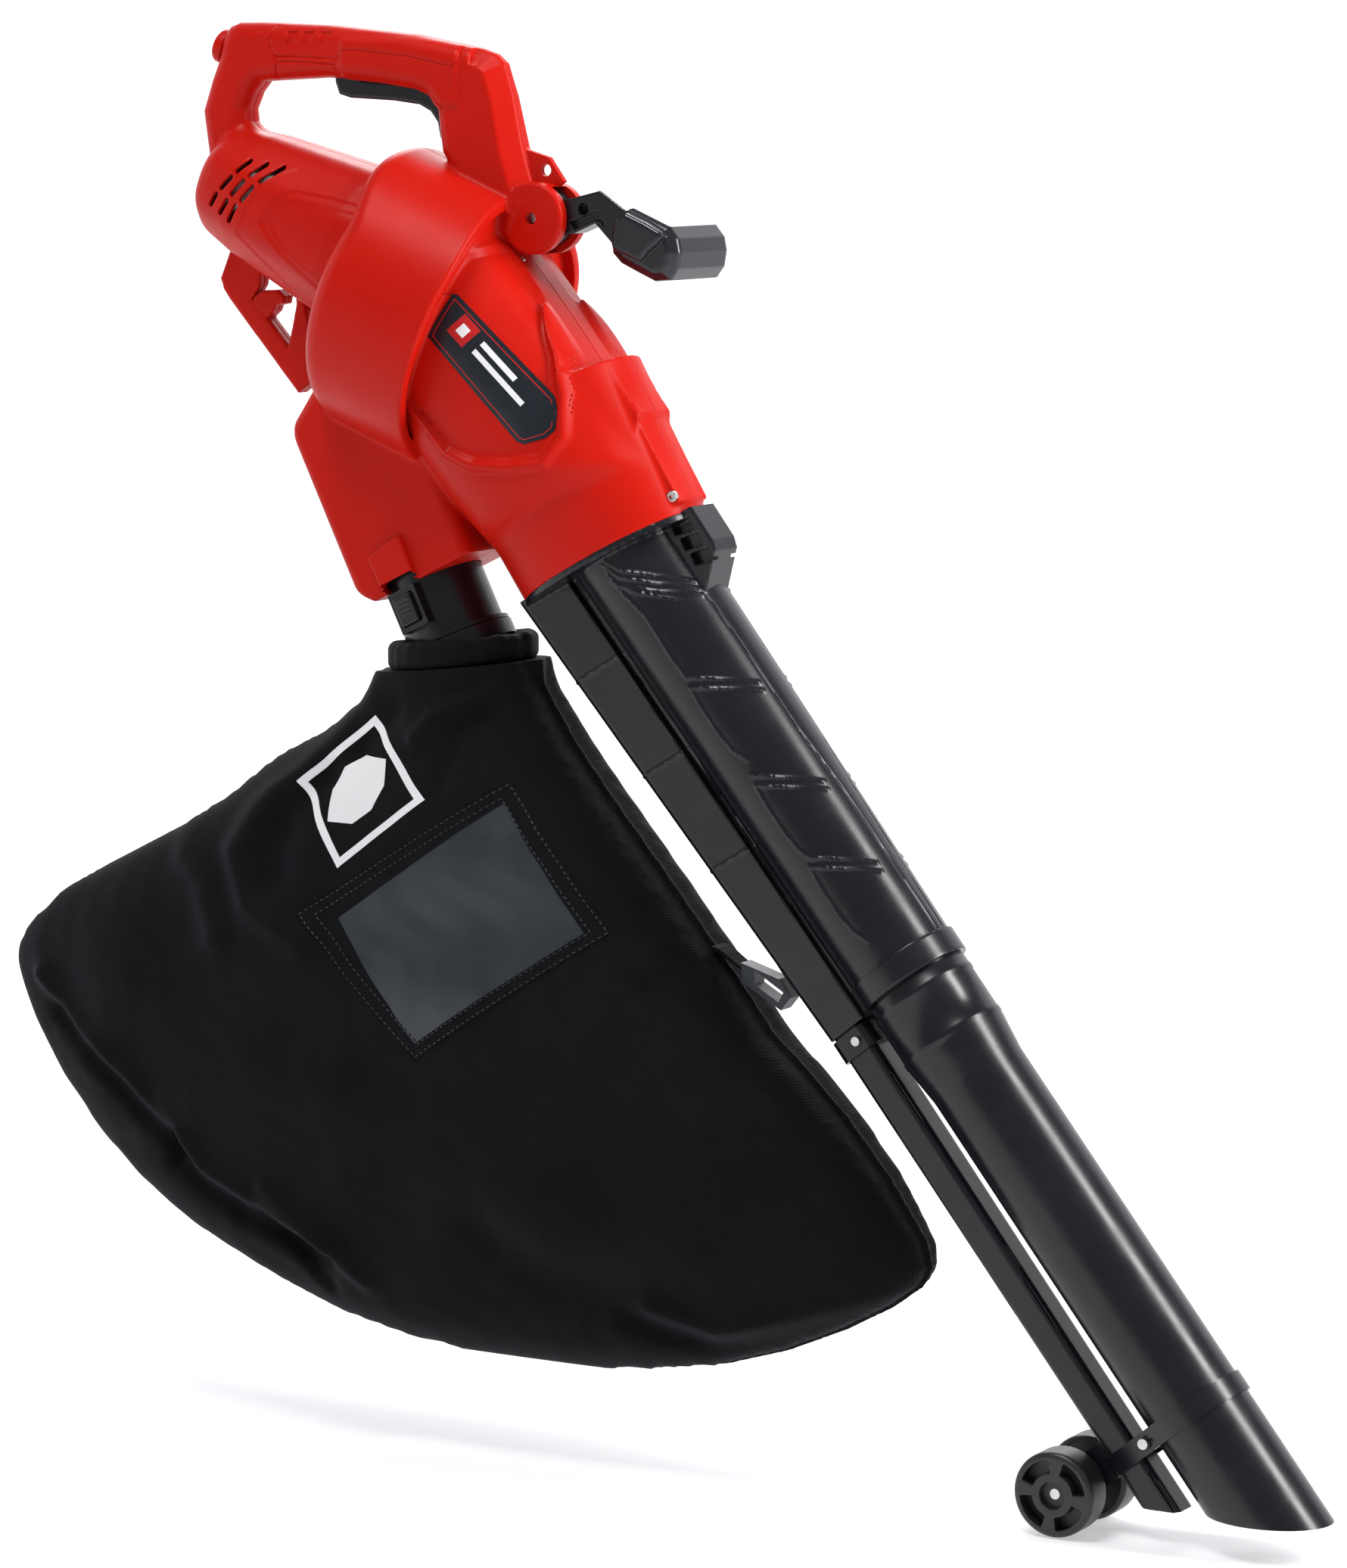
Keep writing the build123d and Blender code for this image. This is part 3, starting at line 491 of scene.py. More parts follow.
HANDLE_OUTER = [
    (-117, -45), (-108, -20), (-101, -4), (-97, 12), (-90.5, 21), (-82, 24), (-60, 24), (0, 21.7), (80, 14),
    (140, 3), (152, -1), (160, -8), (168, -32), (177, -72), (186, -98), (196, -114), (180, -150), (60, -150),
    (-60, -150), (-104, -120), (-112, -80)]
HANDLE_LOOP = [
    (-62, -22), (0, -19), (50, -23.5), (82, -28), (95, -33), (103, -44), (105, -60), (108, -76), (118, -92),
    (110, -118), (-40, -112), (-64, -66), (-75, -53), (-76, -44), (-70, -31)]
HOOK_OUTER = [
    (-84, -134), (-95, -156), (-104, -177), (-101, -186), (-95, -194), (-31, -266), (-8, -250), (-20, -215),
    (-34, -150)]
HOOK_LOOP = [
    (-60, -162), (-66, -173), (-67, -182), (-74, -192), (-60, -207), (-40, -229), (-36, -214), (-32, -196),
    (-34, -176), (-40, -168)]
HOOK_FINGER = [
    (-74, -196), (-71, -190), (-64, -186), (-50, -185), (-43.5, -190), (-45, -196), (-52, -197.5),
    (-54, -202), (-60, -207)]


def place_chart(function):
    return Chart(function, CHART_LOW, CHART_HIGH)


handle_chart = place_chart(lambda x, z: smooth_max(polygon(HANDLE_OUTER)(x, z), -polygon(HANDLE_LOOP)(x, z),
                                                   5))
hook_chart = place_chart(lambda x, z: np.minimum(
    smooth_max(polygon(HOOK_OUTER)(x, z), -polygon(HOOK_LOOP)(x, z), 3), polygon(HOOK_FINGER)(x, z)))


def ridge(points, width, height):
    """Rounded rib along a line, as a rise of the surface."""
    line = path(points)
    return lambda x, z: height * soft_step(line(x, z) - width * 0.5, width)


def recess(points, depth, edge, grow=0.0):
    """Sunk area inside an outline, as a fall of the surface."""
    shape = polygon(points)
    return lambda x, z: -depth * soft_step(shape(x, z) - grow, edge)


NOSE_PANEL = [
    (96, -252), (118, -205), (150, -158), (176, -146), (196, -171), (214, -202), (229, -229), (238, -256),
    (243, -284), (231, -302), (205, -306), (176, -306), (152, -299), (133, -277), (112, -262)]
NOSE_RIB = [
    (112, -262), (132, -281), (150, -303), (174, -312), (206, -312), (235, -308), (249, -288), (245, -256),
    (234, -226), (218, -197), (199, -167), (179, -142)]
BARREL_STEP = [(-60, -140), (-30, -95), (-9, -90), (22, -98), (96, -116), (96, -220), (0, -200)]
BARREL_PANEL = [
    (-34, -131), (-19, -112), (-6, -106), (28, -111), (96, -126), (96, -204), (22, -182), (-17, -152)]
BARREL_INNER = [
    (-26, -131), (-14, -118), (-3, -113), (28, -118), (96, -132), (96, -196), (24, -174), (-12, -150)]
VENTS = [
    [(-50, -83), (-61, -93)], [(-63, -95), (-75, -106)], [(-78, -108), (-86, -119)],
    [(-35, -85.5), (-48, -96)], [(-50.5, -98), (-63.5, -110.5)], [(-66, -113), (-76, -125.5)],
    [(-19.5, -88), (-38, -100.5)], [(-41, -102.8), (-53.5, -115)], [(-57, -117), (-67, -131.5)]]
GRIP_SEAMS = [
    [(-38.3, 26), (-45, 17.7), (-48.6, 9.9), (-47.5, 4.1), (-44, -1.8), (-42.5, -9.6), (-46, -26)],
    [(-43, -2.4), (-17, -3.2), (15, -4.6), (18.5, -2), (20.6, 2), (34.5, 2), (80.7, -2.8), (115, -9.5),
     (122, -10.5), (126.4, -3.8), (125.3, 12)],
    [(-43, -11), (-40.5, -6.7), (-17, -6.9), (12.3, -9.2), (13, -22)]]
GRIP_NOTCHES = [
    [(-32, 16.5), (-22.5, 17), (-26.5, 6.4), (-32, 5.6)],
    [(-17.5, 16), (-7.5, 16.8), (-12.3, 6.3), (-18, 5.6)], [(-1, 16), (9, 16), (3, 5.5), (-2, 5.8)]]
PLUGS = [(-57.6, 13.8, 4.2), (-53.5, -68.1, 5.0), (137.1, -7.2, 4.4), (276.9, -262.1, 6.5)]


def shorten(run, by):
    (ax, az), (bx, bz) = run
    share = by / np.hypot(bx - ax, bz - az)
    return [(ax + (bx - ax) * share, az + (bz - az) * share),
            (bx + (ax - bx) * share, bz + (az - bz) * share)]


def side_relief(x, z):
    """Ribs and panels of the two sides, as heights above the plain form."""
    rise = recess(NOSE_PANEL, 3.6, 8.0)(x, z) + ridge(NOSE_RIB, 7.0, 3.6)(x, z)
    rise = rise + recess(BARREL_STEP, 0.7, 2.5)(x, z) + recess(BARREL_PANEL, 1.1, 3.0)(x, z)
    return rise + recess(BARREL_INNER, 0.6, 2.0)(x, z)


def grip_relief(x, z):
    rise = 0.0 * (x + z)
    for seam in GRIP_SEAMS:
        rise = rise - 1.0 * soft_step(path(seam)(x, z) - 0.75, 1.3)
    for notch in GRIP_NOTCHES:
        rise = rise - 1.6 * soft_step(polygon(notch)(x, z), 1.2)
    for px, pz, radius in PLUGS:
        rise = rise - 0.7 * soft_step(np.abs(np.hypot(x - px, z - pz) - radius) - 0.4, 0.9)
    return rise


side_chart = place_chart(side_relief)
grip_chart = place_chart(grip_relief)
vent_chart = place_chart(lambda x, z: np.minimum.reduce([path(shorten(v, 1.9))(x, z) - 2.2 for v in VENTS]))


def oval(x, y, a, b, power=2.0):
    """Rough distance to a superellipse."""
    norm = (np.abs(x / a) ** power + np.abs(y / b) ** power) ** (1 / power)
    reach = np.hypot(x, y)
    return np.where(reach > 1e-6, (norm - 1) * reach / np.maximum(norm, 1e-6), -np.minimum(a, b))


def box2(u, v, half_u, half_v, r):
    return meet(np.abs(u) - half_u, np.abs(v) - half_v, r)


def nose_field(x, y, z):
    """Tapering cover from the scroll to the bulge that ends above the mouth."""
    _, m = motor_frame(x, z)
    _, s = mouth_frame(x, z)
    ahead, behind = np.maximum(m - 50, 0.0), np.maximum(-40 - s, 0.0)
    t = np.clip(ahead / np.maximum(ahead + behind, 1e-3), 0, 1)
    a, b = 92 + (80 - 92) * t, 90 + (70 - 90) * t
    turn = radians(90 - 22) + (radians(90 - 61.5) - radians(90 - 22)) * t
    cx = (66 + 46.4) + (236.6 - 112.4) * t
    cz = (-177.6 - 18.7) + (-347.7 + 196.3) * t
    across = (x - cx) * np.cos(turn) + (z - cz) * np.sin(turn)
    side = oval(across, y, a, b, 2.25)
    roof = across - (a - 7) + 0.02 * np.abs(y)
    body = smooth_max(side, roof, 10)
    cap = smooth_max(body, s + 36 + 0.0045 * y * y, 16)
    return smooth_max(cap, 40 - m, 4)


def collar_field(x, y, z):
    q, s = mouth_frame(x, z)
    grow = np.clip(-s / 120, 0, 1)
    side = oval(q + 4 * grow, y, MOUTH_HIGH + 6 * grow, MOUTH_WIDE + 10 * grow, MOUTH_POWER)
    return smooth_max(side, np.maximum(s, -130 - s), 1)


def scroll_field(x, y, z):
    n, m = motor_frame(x, z)
    rho = np.hypot(n + 20, y)
    t = np.clip((n - 30) / 60, 0, 1)
    back = -16 - 22 * t * t * (3 - 2 * t)
    front = 90 - 16 * np.clip((n - 20) / 70, 0, 1) ** 2 - 4 * np.clip((-n - 20) / 77, 0, 1)
    drum = meet(rho - SCROLL_RADIUS, back - m, 20)
    drum = smooth_max(drum, m - front, 3)
    lip = np.maximum(rho - LIP_RADIUS, front - 10 - m)
    return smooth_max(drum, -lip, 2)


def barrel_field(x, y, z):
    n, m = motor_frame(x, z)
    r = np.interp(m, [-190, -148, -45, 0], [43, 52, 64.5, 66])
    ring = np.hypot(n, y) - r * 1.035
    for angle in (0, 45, 90, 135, 180):
        c, s = cos(radians(angle)), sin(radians(angle))
        ring = smooth_max(ring, n * c + np.abs(y) * s - r * 0.985, 7)
    tail = -193 - m + 0.10 * np.hypot(n, y)
    return smooth_max(smooth_max(ring, tail, 16), m - 20, 2)


def duct_field(x, y, z):
    q, s = spigot_frame(x, z)
    side = meet(np.abs(q - 8) - 56, np.abs(y) - 42, 9)
    side = smooth_max(side, -(q + 48) * 0.5 + (-150 - s) * 0.87 - 4, 14)
    side = smooth_max(side, -(q + 48) * 0.7 + (s + 14) * 0.7, 5)
    return smooth_max(side, np.maximum(s, -190 - s), 2)


def handle_field(x, y, z):
    flat = handle_chart(x, z)
    half = HALF_HANDLE + 2.0 * soft_step(np.abs(x - 72) - 54, 5) * soft_step(np.abs(z + 15) - 26, 6)
    half = half + 4 * np.clip((-z - 20) / 90, 0, 1) * (x > 60)
    bar = meet(flat, np.abs(y) - half, 13)
    bevel = (flat + np.abs(y) - half) * 0.7071 + 9.5
    return np.where(x > 135, smooth_max(bar, bevel, 1.5), bar)


def pivot_reach(x, z):
    return np.hypot(x - PIVOT[0], z - PIVOT[1])


def ear_field(x, y, z):
    reach = pivot_reach(x, z)
    ears = meet(reach - EAR_RADIUS, np.abs(y) - 20, 3)
    lug = polygon([(165, -70), (181, -75), (198, -80), (212, -99), (205, -112), (170, -104)])(x, z)
    return np.minimum(ears, meet(lug - 1, np.abs(y) - 2.75, 1))


def outer_field(x, y, z):
    away = np.abs(y)
    nose = smooth_min(nose_field(x, y, z), collar_field(x, y, z), 5)
    body = smooth_min(nose, duct_field(x, y, z), 6)
    body = body - side_chart(x, z) * np.clip((away - 18) / 10, 0, 1)
    body = smooth_min(body, scroll_field(x, y, z), 3)
    q, s = tube_frame(x, z)
    step = meet(box2(q - 43, s + 488, 40, 30, 4), away - 25, 4)
    step = smooth_max(step, (q - 83) * 0.6 + (s + 470) * 0.8, 2)
    step = step - grip_chart(x, z) * np.clip((away - 20) / 3, 0, 1)
    body = smooth_min(body, step, 4)
    foot = meet(box2(q - 43 + 0.16 * (s + 440), s + 434, 36, 36, 2), away - 22, 2)
    foot = smooth_max(foot, (q - 76) * 0.97 + (s + 455) * 0.12, 2)
    body = smooth_min(body, foot, 3)
    barrel = barrel_field(x, y, z) - side_chart(x, z) * np.clip((away - 18) / 10, 0, 1)
    body = smooth_min(body, barrel, 4)
    handle = handle_field(x, y, z) - grip_chart(x, z) * np.clip((away - 9) / 3, 0, 1)
    body = smooth_min(body, handle, 5)
    hook = meet(hook_chart(x, z), away - 7.5, 2.2)
    body = smooth_min(body, hook, 2)
    return body


def housing_field(x, y, z, side):
    """One half of the housing; side is -1 on the right, 1 on the left."""
    body = outer_field(x, y, z)
    ears = ear_field(x, y, z)
    n, m = motor_frame(x, z)
    _, s = mouth_frame(x, z)
    g, h = spigot_frame(x, z)
    if side < 0:
        boss = meet(box2(g + 3, h + 18, 17, 19, 3), np.abs(y + 40) - 8, 2)
        boss = smooth_max(boss, -(g + 20) * 0.2 - (h + 32) * 0.9, 3)
        body = smooth_min(body, boss, 2)
    reach = pivot_reach(x, z)
    keep = np.minimum(reach - EAR_RADIUS, np.where(z < -150, hook_chart(x, z) - 1, 50.0))
    cavity = np.maximum(body + WALL, -keep)
    form = np.maximum(smooth_min(body, ears, 2), -cavity)
    cuts = [meet(reach - 23, np.abs(y) - 10.8, 1),
            np.maximum(polygon([(192.5, -102), (206, -102), (236, -80), (256, -190), (192.5, -149)])(x, z),
                       np.abs(y) - 10.8),
            np.maximum(reach - (4.6 if side < 0 else 7.5), 12 - np.abs(y)),
            np.hypot(x - EYELET[0], z - EYELET[1]) - 4.5,
            np.maximum(np.hypot(g, y) - 39.5, -25 - h),
            -s,
            np.maximum(vent_chart(x, z), 20 - np.abs(y)),
            np.maximum(polygon([(5, -12), (5, -45), (118, -80), (118, -24), (90, -12)])(x, z), np.abs(y) - 8)]
    a, b = dial_frame(x, z)
    cuts.append(np.maximum(np.hypot(a, y) - 4.6, np.abs(b) - 22))
    if side < 0:
        cuts.append(np.maximum(box2(g + 3, h - 12, 16, 20, 2), 34 - np.abs(y)))
    else:
        cuts.append(np.maximum(np.hypot(x - 121, z + 350.5) - 4.3, 20 - y))
        cuts.append(np.maximum(np.hypot(m + 78, y - 20) - 7.5, n + 30))
    for cut in cuts:
        form = np.maximum(form, -cut)
    return smooth_max(form, 0.12 - side * y, 0.7)


def build_housing():
    xs = spaced(-124, 336, 1.7, (-60, 60, 1.5))
    zs = spaced(-424, 30, 1.8, (-150, -36, 1.6), (-36, 30, 1.1))
    for side, name in ((-1, "housing_right"), (1, "housing_left")):
        ys = np.sort(side * spaced(-1.0, 117, 1.7, (-1, 2, 0.7), (14, 20, 1.0)))
        add_solid(name + "_shell", lambda x, y, z: housing_field(x, y, z, side), (xs, ys, zs),
                  "housing_red", name)


# Sheets that follow a surface ------------------------------------------------------------------------

def resample(points, step):
    """Closed outline with points no further apart than the step."""
    made = []
    for a, b in zip(points, points[1:] + points[:1]):
        count = max(1, int(np.hypot(b[0] - a[0], b[1] - a[1]) / step))
        made += [(a[0] + (b[0] - a[0]) * k / count, a[1] + (b[1] - a[1]) * k / count) for k in range(count)]
    return made


def patch(name, outline, surface, lift, thickness, step, hole=None, side=-1):
    """Thin inlay over an outline of the XZ plane, laid on one side's surface."""
    rims = [resample(outline, step)] + ([resample(hole, step)] if hole else [])
    xs, zs = [p[0] for p in outline], [p[1] for p in outline]
    grid = [(x, z) for x in np.arange(min(xs), max(xs), step) for z in np.arange(min(zs), max(zs), step)]
    grid = np.array(grid)
    clear = polygon(outline)(grid[:, 0], grid[:, 1]) < -0.5 * step
    if hole:
        clear &= polygon(hole)(grid[:, 0], grid[:, 1]) > 0.5 * step
    flat, edges = [], []
    for rim in rims:
        edges += [(len(flat) + k, len(flat) + (k + 1) % len(rim)) for k in range(len(rim))]
        flat += rim
    flat += [tuple(p) for p in grid[clear]]
    made = delaunay_2d_cdt([Vector(p) for p in flat], edges, [], 0, 1e-5)
    flat, triangles = np.array([tuple(v) for v in made[0]]), np.array(made[2])
    middle = flat[triangles].mean(1)
    wanted = polygon(outline)(middle[:, 0], middle[:, 1]) < 0
    if hole:
        wanted &= polygon(hole)(middle[:, 0], middle[:, 1]) > 0
    triangles = triangles[wanted]
    y = surface(flat[:, 0], flat[:, 1]) + side * lift
    top = np.stack([flat[:, 0], y, flat[:, 1]], 1)
    low = top - np.array([0, side * thickness, 0])
    spread = top[triangles]
    normal = np.cross(spread[:, 1] - spread[:, 0], spread[:, 2] - spread[:, 0])[:, 1].sum()
    if normal * side < 0:
        triangles = triangles[:, ::-1]
    directed = dict.fromkeys(e for a, b, c in triangles.tolist() for e in ((a, b), (b, c), (c, a)))
    count = len(top)
    faces = triangles.tolist() + (triangles[:, ::-1] + count).tolist()
    faces += [(b, a, a + count, b + count) for a, b in directed if (b, a) not in directed]
    return mesh_piece(name, np.concatenate([top, low]), faces, 40)


def surface_finder(field, low, high, rounds):
    """Height of a field's right side over the XZ plane, found by halving."""
    def height(x, z):
        under, over = np.full(x.shape, low), np.full(x.shape, high)
        for _ in range(rounds):
            middle = (under + over) / 2
            outside = field(x, middle, z) > 0
            under, over = np.where(outside, middle, under), np.where(outside, over, middle)
        return under
    return height


near_surface = surface_finder(outer_field, -125.0, -10.0, 22)

# name, place along and across the badge, length, width, material
BADGE_MARKS = [("badge_square", -6, -9, 18, 18, "print_red"),
               ("badge_bar_long", 20, -6, 56, 4, "print_white"),
               ("badge_bar_short", 20, 2, 38, 4, "print_white"), ("badge_dot", -1, -4, 8, 8, "print_white")]
BADGE = [
    (157.5, -180), (139.5, -214), (212, -292), (218, -294), (234, -289), (240.5, -283), (241.5, -268),
    (237, -258)]


def shrink(points, share):
    cx, cz = sum(p[0] for p in points) / len(points), sum(p[1] for p in points) / len(points)
    return [(cx + (x - cx) * share, cz + (z - cz) * share) for x, z in points]


def inset_outline(points, distance):
    """Outline moved inwards by a distance, for a clockwise or anticlockwise convex shape."""
    made, count = [], len(points)
    area = sum(a[0] * b[1] - b[0] * a[1] for a, b in zip(points, points[1:] + points[:1]))
    turn = 1 if area > 0 else -1
    for k in range(count):
        before, here, after = (np.array(points[(k + j) % count], float) for j in (-1, 0, 1))
        a, b = here - before, after - here
        na, nb = (np.array((-v[1], v[0])) * turn / np.hypot(*v) for v in (a, b))
        made.append(tuple(here + (na + nb) * distance / (1 + na @ nb)))
    return made


def build_badge():
    settle(patch("badge_film", BADGE, near_surface, 0.5, 0.9, 3.0), "badge", "badge_plate")
    line = patch("badge_line", inset_outline(BADGE, 3.0), near_surface, 0.56, 0.3, 3.0,
                 hole=inset_outline(BADGE, 3.7))
    settle(line, "badge", material="print_red")
    along, across = np.array((0.70, -0.714)), np.array((0.714, 0.70))
    start = np.array((165.0, -207.0))
    for rank, (name, a, b, long, wide, material) in enumerate(BADGE_MARKS):
        corner = start + along * a + across * b
        corners = (0, 0), (long, 0), (long, wide), (0, wide)
        outline = [tuple(corner + along * p + across * q) for p, q in corners]
        mark = patch(name, outline, near_surface, 0.6 + 0.05 * rank, 0.3, 2.0)
        settle(mark, "badge", material=material)


# Tubes -------------------------------------------------------------------------------------------

def tube_relief(s, w):
    lines = [[(-399, 71), (-380, 62), (-361, 43), (-342, 19)],
             [(-393, 72), (-377, 66), (-356, 46), (-336, 20)],
             [(-386, 72), (-374, 71), (-349, 47), (-331, 21)], [(-378, 74), (-360, 62), (-335, 38)],
             [(-372, 72), (-340, 66), (-300, 67), (-282, 66)]]
    for start in (-284.0, -193.6, -119.3):
        lines += [[(start, 66), (start + 17, 45), (start + 34, 21)],
                  [(start + 8, 68), (start + 26, 45), (start + 41, 22)],
                  [(start + 8, 68), (start + 38, 69.5), (start + 66, 68), (start + 80, 62)]]
    rise = 0.0 * (s + w)
    for line in lines:
        rise = np.maximum(rise, 0.9 * soft_step(path(line)(s, w) - 0.9, 1.9))
    seam = [(-331, 18), (-309, 16.5), (-261, 15), (-206, 14.4), (-149.5, 8.2), (-82, 6.2), (-20, 5)]
    return rise - 0.7 * soft_step(path(seam)(s, w) - 0.8, 1.6)


tube_chart = Chart(tube_relief, (-430, -6), (10, 145))


def to_world(x, s):
    return from_frame(*TUBE_AT, x, s)


def upper_tube_field(x, y, s):
    t = np.clip(-s / 424, 0, 1.1)
    away = np.abs(y)
    duct = np.hypot(x, y) - (42.5 + 4.5 * t)
    duct = duct - tube_chart(s + 0 * x * y, 0.77 * np.degrees(np.arctan2(away, x + 0 * y)))
    channel = box2(x + 59.5 + 7 * t, y, 20.5 + 7 * t, 21 + 7 * t, 7)
    for station in (-330, -240, -150):
        channel = channel - 0.8 * soft_step(np.abs(s - station - 0.12 * x) - 0.8, 2.0)
    groove = np.maximum(np.abs(x + 41.5 + 3 * t) - 1.8, 17 + 3 * t - away)
    body = smooth_max(smooth_min(duct, channel, 3), -groove, 1.2)
    body = np.minimum(body, meet(np.hypot(x, y) - 45.3, np.abs(s + 10) - 10, 1))
    body = smooth_max(body, np.maximum(s, -440 - s), 0.6)
    block = polygon([(20, -412), (73, -412), (72, -360), (69, -352), (42, -331), (20, -331)])(x, s)
    block = meet(block, away - 17.5, 1.2)
    for station in (-383, -369, -355):
        pocket = box2(x - 57 + 0.2 * (s - station), s - station - 0.35 * (x - 57), 9, 5.4, 1.5)
        block = smooth_max(block, -np.maximum(pocket, 10 - away), 0.6)
    body = np.minimum(body, block)
    wx, wz = to_world(x, s)
    q, m = mouth_frame(wx, wz)
    body = np.maximum(body, -1.0 - m)
    flange = meet(oval(q, y, MOUTH_HIGH, MOUTH_WIDE, MOUTH_POWER), np.abs(m - 2.4) - 2.4, 0.8)
    body = smooth_min(body, flange, 1.5)
    bore = np.hypot(x, y) - (38.5 + 4.5 * t)
    passage = box2(x + 60.5 + 9 * t, y, 15 + 6 * t, 16.5 + 7 * t, 4)
    return np.maximum(body, -np.minimum(bore, passage))


def ring_faces(rings, around, closed):
    """Quads between rings of points, and from the last back to the first if closed."""
    faces = []
    for row in range(rings if closed else rings - 1):
        here, there = row * around, (row + 1) % rings * around
        for k in range(around):
            j = (k + 1) % around
            faces.append((here + k, there + k, there + j, here + j))
    return faces


def build_suction_tube():
    """Round lower tube turned about the tube axis, cut off level with the ground."""
    outside = [(-26, 39.6), (0.6, 39.6), (1.2, 41.2), (2.2, 41.6), (9, 41.6), (10.2, 42.4), (13.8, 42.4),
               (15, 41.6),
               (48, 41.6), (49.2, 42.3), (52.8, 42.3), (54, 41.6), (57, 41.5), (72, 39.8), (84, 38.5),
               (90, 38.4)]
    outside += [(s, 38.4 - 0.0002 * (s - 90)) for s in range(102, 500, 12)] + [(9999, 38.3)]
    inside = [(9999, 36.0)] + [(s, 36.0) for s in range(490, -20, -24)] + [(-26, 37.2)]
    rings, count, vertices = outside + inside, 112, []
    for s, radius in rings:
        for k in range(count):
            a = 2 * pi * k / count
            x, y = radius * cos(a), radius * sin(a)
            end = (372.3 + x * cos(radians(TUBE_AT[2]))) / sin(radians(TUBE_AT[2]))
            px, pz = to_world(x, min(s, end - (0 if s > 9000 else 0.4 + 0.002 * (500 - s))))
            vertices.append((px, y, pz))
    piece = mesh_piece("lower_suction_tube_moulding", vertices, ring_faces(len(rings), count, True), 35)
    settle(piece, "black_plastic", "lower_suction_tube")


def blow_tube_field(x, y, s):
    t = s / 470
    wide, deep = 14 - 1.5 * t, 15 - 1.0 * t
    outer = box2(x + 65.5 + 1.5 * t, y, wide, deep, 6)
    wall = np.maximum(outer, -(outer + 2.0))
    _, wz = to_world(x, s)
    return smooth_max(np.maximum(wall, -26 - s), -1068 - wz, 0.6)


def wheel_field(x, y, s, side):
    u, v = x + 119.5, s - 374
    r, h = np.hypot(u, v), side * y - 29
    body = meet(r - 32.5, np.abs(h) - 14, 4.5)
    turn = np.abs((np.arctan2(v, u) + pi / 4) % (pi / 2) - pi / 4)
    window = meet(np.abs(r - 21.8) - 5.0, (turn - 0.56) * 21, 1.2)
    body = smooth_max(body, -np.maximum(window, 3 - h), 0.8)
    body = smooth_max(body, -np.maximum(r - 10.5, 8.5 - h), 0.8)
    body = smooth_max(body, -np.maximum(np.abs(r - 20.5) - 8, h + 7), 0.8)
    return np.maximum(body, 4.2 - r)


def build_tubes():
    grid = spaced(-98, 78, 1.5), spaced(-60, 60, 1.5), spaced(-450, 3, 1.45)
    add_solid("upper_tube_moulding", upper_tube_field, grid, "black_plastic", "upper_tube", frame_at=TUBE_AT)
    build_suction_tube()
    grid = spaced(-84, -47, 1.6), spaced(-18, 18, 1.6), spaced(-29, 480, 3.0)
    add_solid("lower_blow_tube_moulding", blow_tube_field, grid, "black_plastic", "lower_blow_tube",
              frame_at=TUBE_AT)
    for side, name in ((-1, "wheel_right"), (1, "wheel_left")):
        grid = spaced(-154, -85, 0.95), np.sort(side * spaced(13.5, 45, 0.9)), spaced(339.5, 409, 0.95)
        add_solid(name + "_moulding", lambda x, y, s: wheel_field(x, y, s, side), grid, "wheel_plastic",
                  name, name, frame_at=TUBE_AT)


# Auxiliary handle and controls ----------------------------------------------------------------------

ARM = [
    (194, -113), (223, -110.5), (248, -104.5), (270, -119), (262, -146), (244, -128), (225, -136),
    (196, -140)]
GRIP_SECTION = [
    (254, -132), (262, -119.5), (272, -118), (304, -131.5), (311, -140), (313, -150), (311, -162),
    (305, -170), (292, -171), (276, -164), (263, -158), (256, -151)]
GRIP_NUB = [
    (264, -124), (272, -120.5), (288, -127), (302, -134), (305, -138), (299, -144), (291, -150), (287, -155),
    (283, -157), (272, -152), (261, -147.6), (260, -144), (260.6, -135)]


def arm_field(x, y, z):
    away = np.abs(y)
    reach = pivot_reach(x, z)
    arm = meet(polygon(ARM)(x, z) - 0.5, away - 10.3, 1.2)
    web = polygon([(222, -128), (246, -119.5), (252, -130), (244, -126.5), (226, -133.8)])(x, z)
    arm = smooth_max(arm, -np.maximum(web, 6 - away), 0.8)
    body = np.minimum(arm, meet(reach - 22.6, away - 10.3, 1))
    socket = np.maximum(np.hypot(x - 234, z + 118) - 4.6, 3 - away)
    return np.maximum(np.maximum(body, -socket), 5.1 - reach)


def aux_grip_field(x, y, z):
    section = polygon(GRIP_SECTION)(x, z) - 1.2
    length = np.abs(y - 34.5) - 43.5
    bar = smooth_max(meet(section, length, 5), (section + length) * 0.7071 + 5.0, 2)
    nub = meet(polygon(GRIP_NUB)(x, z), np.abs(y + 7.5) - 6.5, 3)
    arm = meet(polygon(ARM)(x, z) - 0.5, np.abs(y) - 10.3, 1.2)
    return np.maximum(smooth_min(bar, nub, 1.0), 0.2 - arm)


def trigger_field(x, y, z):
    outline = [(8, -6), (8, -22), (11, -30), (20, -32.5), (60, -34.5), (84, -37.5), (95, -43), (102, -52),
               (104.5, -64),
               (107, -67.5), (110.5, -66), (111.5, -54), (104, -38), (92, -27.4), (30, -22.4), (20, -6.2)]
    lever = meet(polygon(outline)(x, z) - 2.2, np.abs(y) - 7.0, 2.5)
    pocket = np.maximum(box2(x - TRIGGER_SPRING_X, z + 18, 7, 12, 0.5), np.abs(y) - 4.5)
    return np.maximum(lever, -pocket)


def dial_field(x, y, z):
    a, b = dial_frame(x, z)
    r = np.hypot(a, y)
    knob = meet(r - 13.6, np.abs(b - 5.6) - 4.4, 2.5)
    return np.minimum(knob, np.maximum(r - 4, np.abs(b + 5) - 11))


